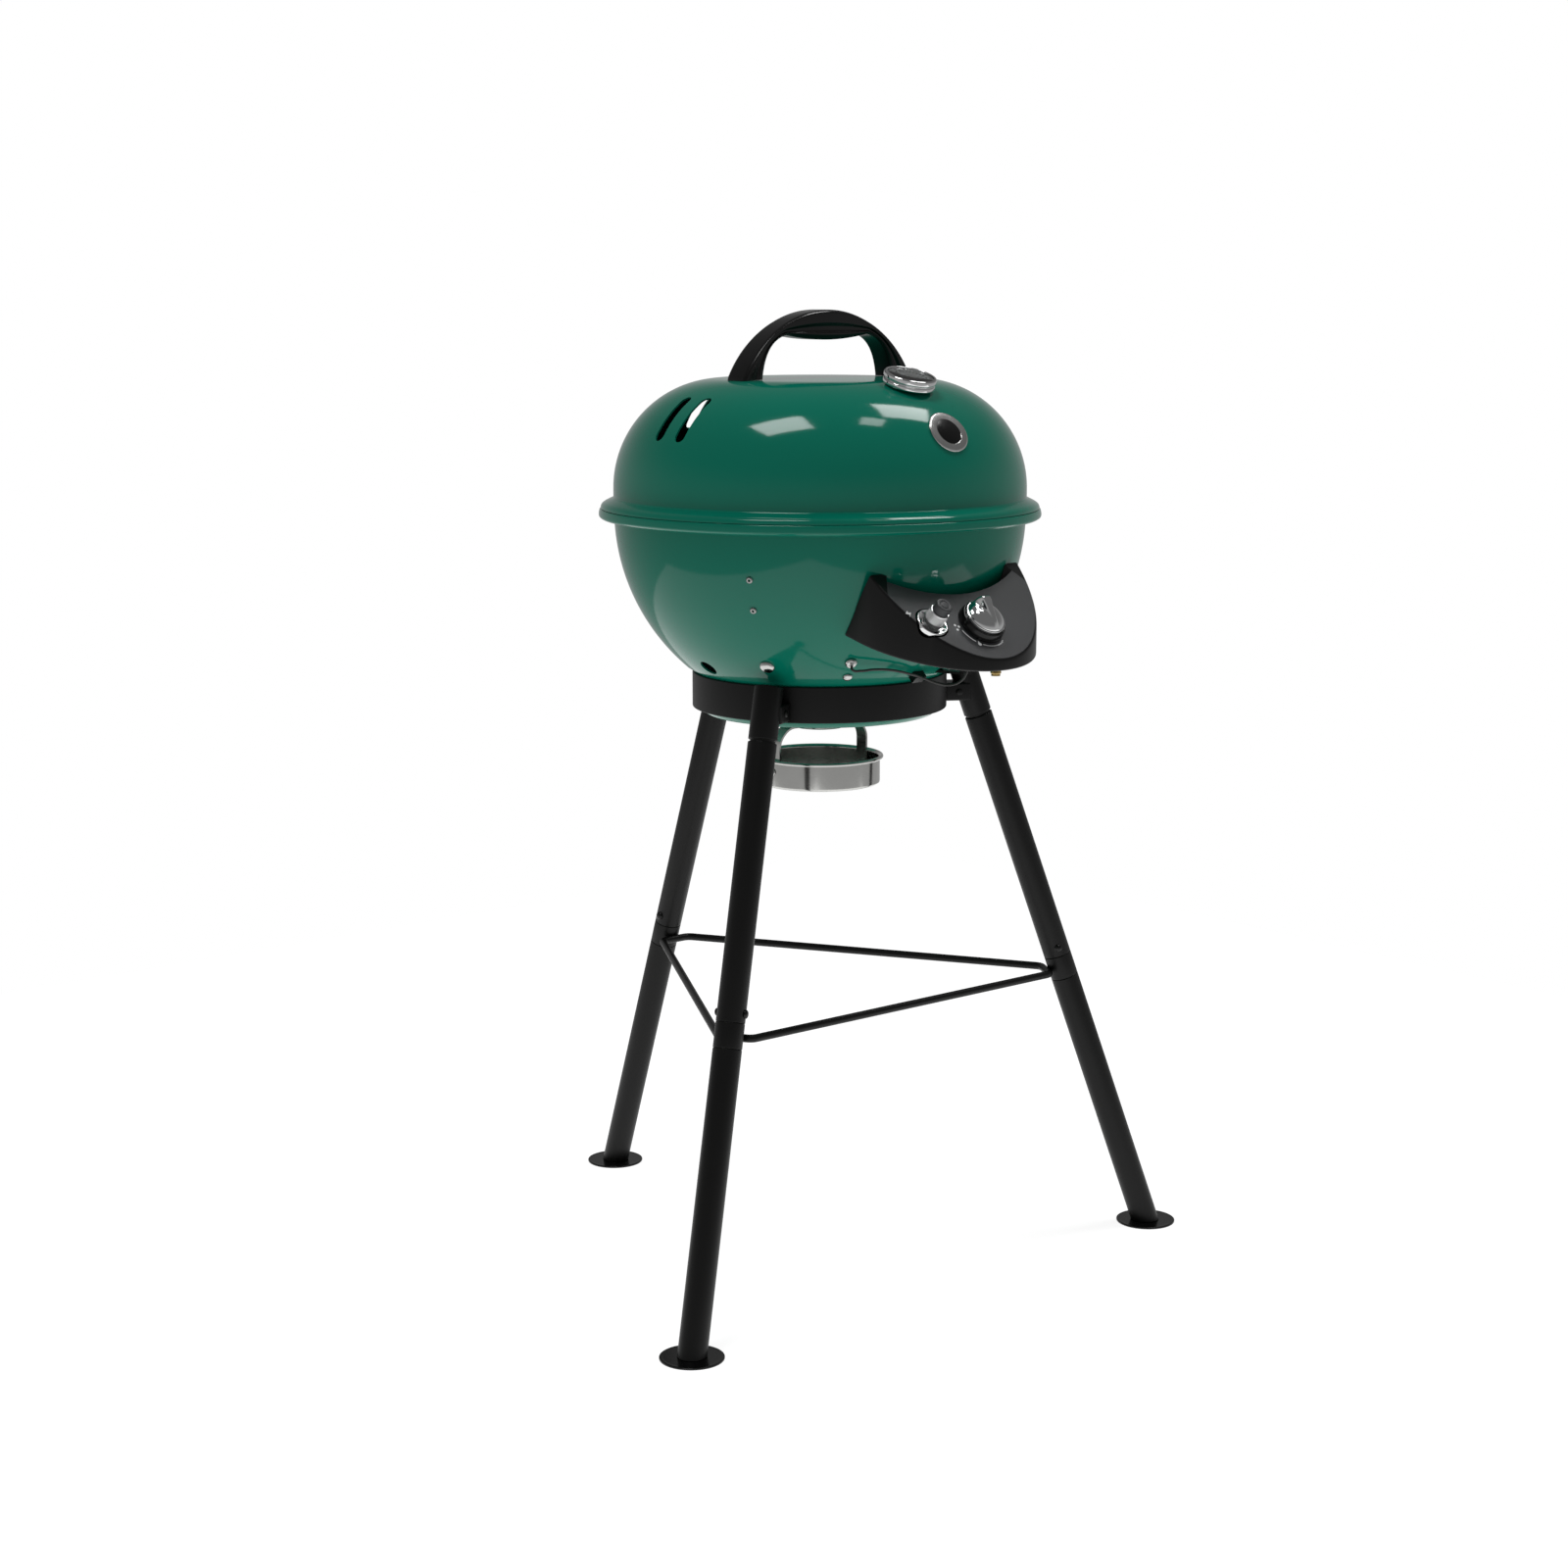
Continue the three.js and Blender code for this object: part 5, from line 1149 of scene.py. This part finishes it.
for name, material in (
        ("handle_screw_left", polished_steel), ("handle_screw_right", polished_steel),
        ("gas_valve", turned_brass), ("gas_inlet", turned_brass), ("igniter_piezo", black_gloss),
        ("box_bracket", powder_black), ("lead_clip", black_gloss)):
    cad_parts[name].material_slots[0].material = material

# ---------------------------------------------------------------- thermometer
# A chromed two-step case with a grey dial, ticks and a red-tipped needle under glass. Its probe
# passes through the lid and is held by a nut inside.


def on_lid(azimuth, out):
    """The frame on the lid's shoulder, out from the edge of the crown."""
    rise = math.sqrt(shoulder_radius ** 2 - out ** 2)
    point = polar(crown_radius + out, azimuth, shoulder_z + rise)
    return facing(point, point - polar(crown_radius, azimuth, shoulder_z))


dial_place = on_lid(-90, 0.0327)
case_radius = 0.0265
bezel_in = case_radius - 0.003
dial_floor = 0.006
case = bmesh.new()
add_turned(case, softened([(0, 0.0003), (case_radius - 0.0025, 0.0003), (case_radius - 0.0005,
                           0.002), (case_radius - 0.0005, 0.0052), (case_radius - 0.0018, 0.0062),
                           (case_radius - 0.0018, 0.0070), (case_radius, 0.0080),
                           (case_radius, 0.0118), (case_radius - 0.0012, 0.013),
                           (bezel_in, 0.013), (bezel_in, dial_floor), (0, dial_floor)], 0.0008),
           dial_place, 128)
piece("gauge_case", case, chrome_plate, "lid", ["thermometer_case"])
dial_grey = finish("dial_grey", (0.33, 0.345, 0.34), 0.35, 0.2, shade=0.95, grain=0.0008,
                   depth=0.00001)
dial = bmesh.new()
dial_top = dial_floor + 0.0013
add_turned(dial, softened([(0, dial_floor + 0.0003), (bezel_in - 0.0003, dial_floor + 0.0003),
                           (bezel_in - 0.0003, dial_top), (0, dial_top)], 0.0002), dial_place, 96)
piece("gauge_dial", dial, dial_grey, "lid", ["thermometer_dial"])
tick = bmesh.new()
slab(tick, (0.0178, -0.0003, 0), (0.0212, 0.0003, 0.0001), Matrix.Identity(4), 0.00003)
ticks = round_copies("dial_ticks", to_data("tick", tick), 36, black_gloss)
ticks.transform(dial_place @ Matrix.Translation((0, 0, dial_top)))
piece("gauge_ticks", ticks, black_gloss, "lid", [])
needle_red = finish("needle_red", (0.35, 0.012, 0.010), 0.35, grain=0.001, depth=0.00001)
needle = bmesh.new()
about = dial_place @ Matrix.Rotation(math.radians(130), 4, "Z")
needle_z = dial_floor + 0.0022
add_turned(needle, softened([(0, needle_z), (0.002, needle_z), (0.002, needle_z + 0.0011),
                             (0, needle_z + 0.0011)], 0.0003), about, 32)
tip = [(0.0011, -0.003), (0.0006, 0.012), (0.0001, 0.0195), (-0.0001, 0.0195), (-0.0006, 0.012),
       (-0.0011, -0.003)]
add_prism(needle, tip, about, needle_z + 0.0003, needle_z + 0.0009)
piece("gauge_needle", needle, needle_red, "needle", ["thermometer_needle"])
gauge_glass, nodes, links, shader = principled("gauge_glass")
shader.inputs["Base Color"].default_value = (0.93, 0.96, 0.95, 1)
shader.inputs["Transmission Weight"].default_value = 1.0
shader.inputs["IOR"].default_value = 1.45
smear = nodes.new("ShaderNodeTexNoise")
smear.inputs["Scale"].default_value = 60
where = nodes.new("ShaderNodeTexCoord")
spread = nodes.new("ShaderNodeMapRange")
spread.inputs["To Min"].default_value = 0.01
spread.inputs["To Max"].default_value = 0.05
links.new(where.outputs["Object"], smear.inputs["Vector"])
links.new(smear.outputs["Fac"], spread.inputs["Value"])
links.new(spread.outputs["Result"], shader.inputs["Roughness"])
glass = bmesh.new()
add_turned(glass, softened([(0, 0.0106), (bezel_in - 0.0003, 0.0106), (bezel_in - 0.0003, 0.0118),
                            (0.012, 0.0121), (0, 0.0122)], 0.0003), dial_place, 96)
piece("gauge_lens", glass, gauge_glass, "lid", ["thermometer_glass"])
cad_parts["thermometer_probe"].material_slots[0].material = polished_steel

# ---------------------------------------------------------------- lid badge
# A plain polished ring round a plain dark disc, pressed to the curve of the shoulder.
badge_radius = 0.0225
badge_out = 0.0907
badge_lift = math.acos(badge_out / shoulder_radius)


def on_shoulder(along, across, lift):
    """The point that far up the shoulder and round it from the badge's middle."""
    angle = badge_lift + along / shoulder_radius
    radius = shoulder_radius + lift
    reach = crown_radius + radius * math.cos(angle)
    turn = across / (crown_radius + badge_out)
    return polar(reach, -90 + math.degrees(turn), shoulder_z + radius * math.sin(angle))


def pressed_disc(outline, sides=96):
    """A turned outline of (radius, lift) laid on the curve of the shoulder."""
    disc = bmesh.new()
    rings = []
    for radius, lift in outline:
        if radius < 1e-7:
            rings.append([disc.verts.new(on_shoulder(0, 0, lift))])
            continue
        rings.append([disc.verts.new(on_shoulder(radius * math.sin(2 * math.pi * i / sides),
                                                 radius * math.cos(2 * math.pi * i / sides),
                                                 lift)) for i in range(sides)])
    for low, high in zip(rings, rings[1:]):
        for i in range(sides):
            corners = [low[i % len(low)], low[(i + 1) % sides % len(low)],
                       high[(i + 1) % sides % len(high)], high[i % len(high)]]
            unique = list(dict.fromkeys(corners))
            if len(unique) > 2:
                disc.faces.new(unique)
    return disc


badge_steel = finish("badge_steel", (0.62, 0.62, 0.61), 0.22, 1.0, shade=0.85, grain=0.0012,
                     depth=0.00001, stretch=(1, 1, 6), cloud=0.012, spread=0.06)
badge = pressed_disc(softened([(0, 0.0003), (badge_radius, 0.0003), (badge_radius, 0.0018),
                               (badge_radius - 0.0016, 0.0024), (0.0145, 0.0021),
                               (0.0142, 0.0014), (0, 0.0014)], 0.0005))
piece("badge_ring", badge, badge_steel, "lid", ["lid_badge"])
middle_disc = pressed_disc(softened([(0, 0.0012), (0.0140, 0.0012), (0.0140, 0.0019),
                                     (0, 0.0021)], 0.0004))
piece("badge_middle", middle_disc, black_gloss, "lid", [])

# ---------------------------------------------------------------- drip cup
# A spun steel cup with a rolled rim. One bent strap hangs it from the spout: its ends are screwed
# inside the cup, and an eye at its middle grips the spout.
cup_steel = finish("cup_steel", (0.62, 0.62, 0.60), 0.14, 1.0, shade=0.88, grain=0.0014,
                   depth=0.00001, stretch=(1, 1, 9), cloud=0.02, spread=0.05)
cup_radius, cup_low, cup_high = 0.0632, 0.500, 0.530
roll = 0.0019
roll_middle = (cup_radius + roll - 0.0002, cup_high - roll)
curl = [(roll_middle[0] + roll * math.cos(math.radians(a)),
         roll_middle[1] + roll * math.sin(math.radians(a))) for a in range(-150, 121, 18)]
cup = bmesh.new()
wall = softened([(0, cup_low), (cup_radius, cup_low), (cup_radius, cup_high - 0.004), curl[0]],
                0.0028, 6)
wall_in = softened([curl[-1], (cup_radius - 0.0016, cup_high - 0.002),
                    (cup_radius - 0.0016, cup_low + 0.0016), (0, cup_low + 0.0016)], 0.002, 6)
add_turned(cup, [*wall[:-1], *curl, *wall_in[1:]], axis, 192)
piece("cup", cup, cup_steel, "cup", ["drip_cup"])
strap_reach, eye_z, strap_wall = 0.0584, 0.561, 0.002
half_strap = softened([(strap_reach, 0.508), (strap_reach, eye_z - 0.012),
                       (strap_reach - 0.012, eye_z), (0.028, eye_z)], 0.009, 8)
strap = bmesh.new()
for hand in (-1, 1):
    rows = []
    for i, point in enumerate(half_strap):
        before = half_strap[max(i - 1, 0)]
        after = half_strap[min(i + 1, len(half_strap) - 1)]
        run = (after - before).normalized()
        out = Vector((run.y, -run.x)) * strap_wall
        rows.append([strap.verts.new((hand * at.x, kettle_y + side, at.y)) for at, side in (
            (point, -0.0075), (point, 0.0075), (point + out, 0.0075), (point + out, -0.0075))])
    for a, b in zip(rows, rows[1:]):
        for k in range(4):
            strap.faces.new((a[k], a[(k + 1) % 4], b[(k + 1) % 4], b[k]))
    strap.faces.new(rows[0])
    strap.faces.new(rows[-1][::-1])
add_turned(strap, softened([(0.0263, eye_z), (0.034, eye_z), (0.034, eye_z + strap_wall),
                            (0.0263, eye_z + strap_wall)], 0.0005, closed=True), axis, 96,
           closed=True)
piece("bail_strap", strap, cup_steel, "cup", ["cup_bail"])
for side, azimuth in (("left", 180), ("right", 0)):
    screw = bmesh.new()
    place = facing(polar(cup_radius, azimuth, cup_low + 0.017), outward(azimuth))
    add_turned(screw, [(0, -0.006), (0.002, -0.006), (0.002, 0.0003), (0.0042, 0.0003),
                       *dome(0.0042, 0.0020, 0.0006)], place, 32)
    piece(f"bail_screw_{side}", screw, polished_steel, "cup", [f"cup_screw_{side}"])

# ---------------------------------------------------------------- studio
# A pale floor that glows a little and runs out to a white surround, with three soft boxes
# overhead. The world lights the grill more from the horizon than from above.
floor_reach = 1.5
floor_glow = 0.86
box_height = 2.9
horizon_light, overhead_light = 0.40, 0.16
floor_mesh = bmesh.new()
bmesh.ops.create_grid(floor_mesh, x_segments=1, y_segments=1, size=floor_reach)
floor_data = to_data("floor", floor_mesh)
pale = finish("pale_floor", (0.50, 0.50, 0.50), 0.9, shade=0.99, grain=0.01, depth=0.00001,
              cloud=0.8, gloss=0.0)
pale_shader = pale.node_tree.nodes["Principled BSDF"]
pale_shader.inputs["Emission Color"].default_value = (1, 1, 1, 1)
pale_shader.inputs["Emission Strength"].default_value = floor_glow
floor_data.materials.append(pale)
floor = bpy.data.objects.new("floor", floor_data)
bpy.context.collection.objects.link(floor)

for name, x, y, wide, deep, turn, power in (
        ("left_box", -0.78, -0.02, 0.85, 0.62, -27, 19),
        ("front_box", 0.39, -0.66, 0.36, 0.36, -35, 3),
        ("right_box", 1.16, -0.26, 0.85, 0.70, -15, 19)):
    light = bpy.data.lights.new(name, "AREA")
    light.shape = "RECTANGLE"
    light.size, light.size_y, light.energy = wide, deep, power
    lamp = bpy.data.objects.new(name, light)
    lamp.location = (x, y + kettle_y, box_height)
    lamp.rotation_euler = Euler((0, 0, math.radians(turn)))
    bpy.context.collection.objects.link(lamp)

world = bpy.data.worlds.new("studio")
world.use_nodes = True
tree = world.node_tree
background = tree.nodes["Background"]
background.inputs["Color"].default_value = (1, 1, 1, 1)
direction = tree.nodes.new("ShaderNodeTexCoord")
split = tree.nodes.new("ShaderNodeSeparateXYZ")
fade = tree.nodes.new("ShaderNodeMapRange")
fade.interpolation_type = "SMOOTHSTEP"
fade.inputs["From Min"].default_value = 0.0
fade.inputs["From Max"].default_value = 0.5
fade.inputs["To Min"].default_value = horizon_light
fade.inputs["To Max"].default_value = overhead_light
surround = tree.nodes.new("ShaderNodeBackground")
surround.inputs["Color"].default_value = (1, 1, 1, 1)
path = tree.nodes.new("ShaderNodeLightPath")
pick = tree.nodes.new("ShaderNodeMixShader")
wire(tree, (direction.outputs["Generated"], split.inputs["Vector"]),
     (split.outputs["Z"], fade.inputs["Value"]),
     (fade.outputs["Result"], background.inputs["Strength"]),
     (path.outputs["Is Camera Ray"], pick.inputs["Fac"]),
     (background.outputs[0], pick.inputs[1]),
     (surround.outputs[0], pick.inputs[2]),
     (pick.outputs[0], tree.nodes["World Output"].inputs["Surface"]))
bpy.context.scene.world = world
bpy.context.scene.view_settings.view_transform = "Standard"
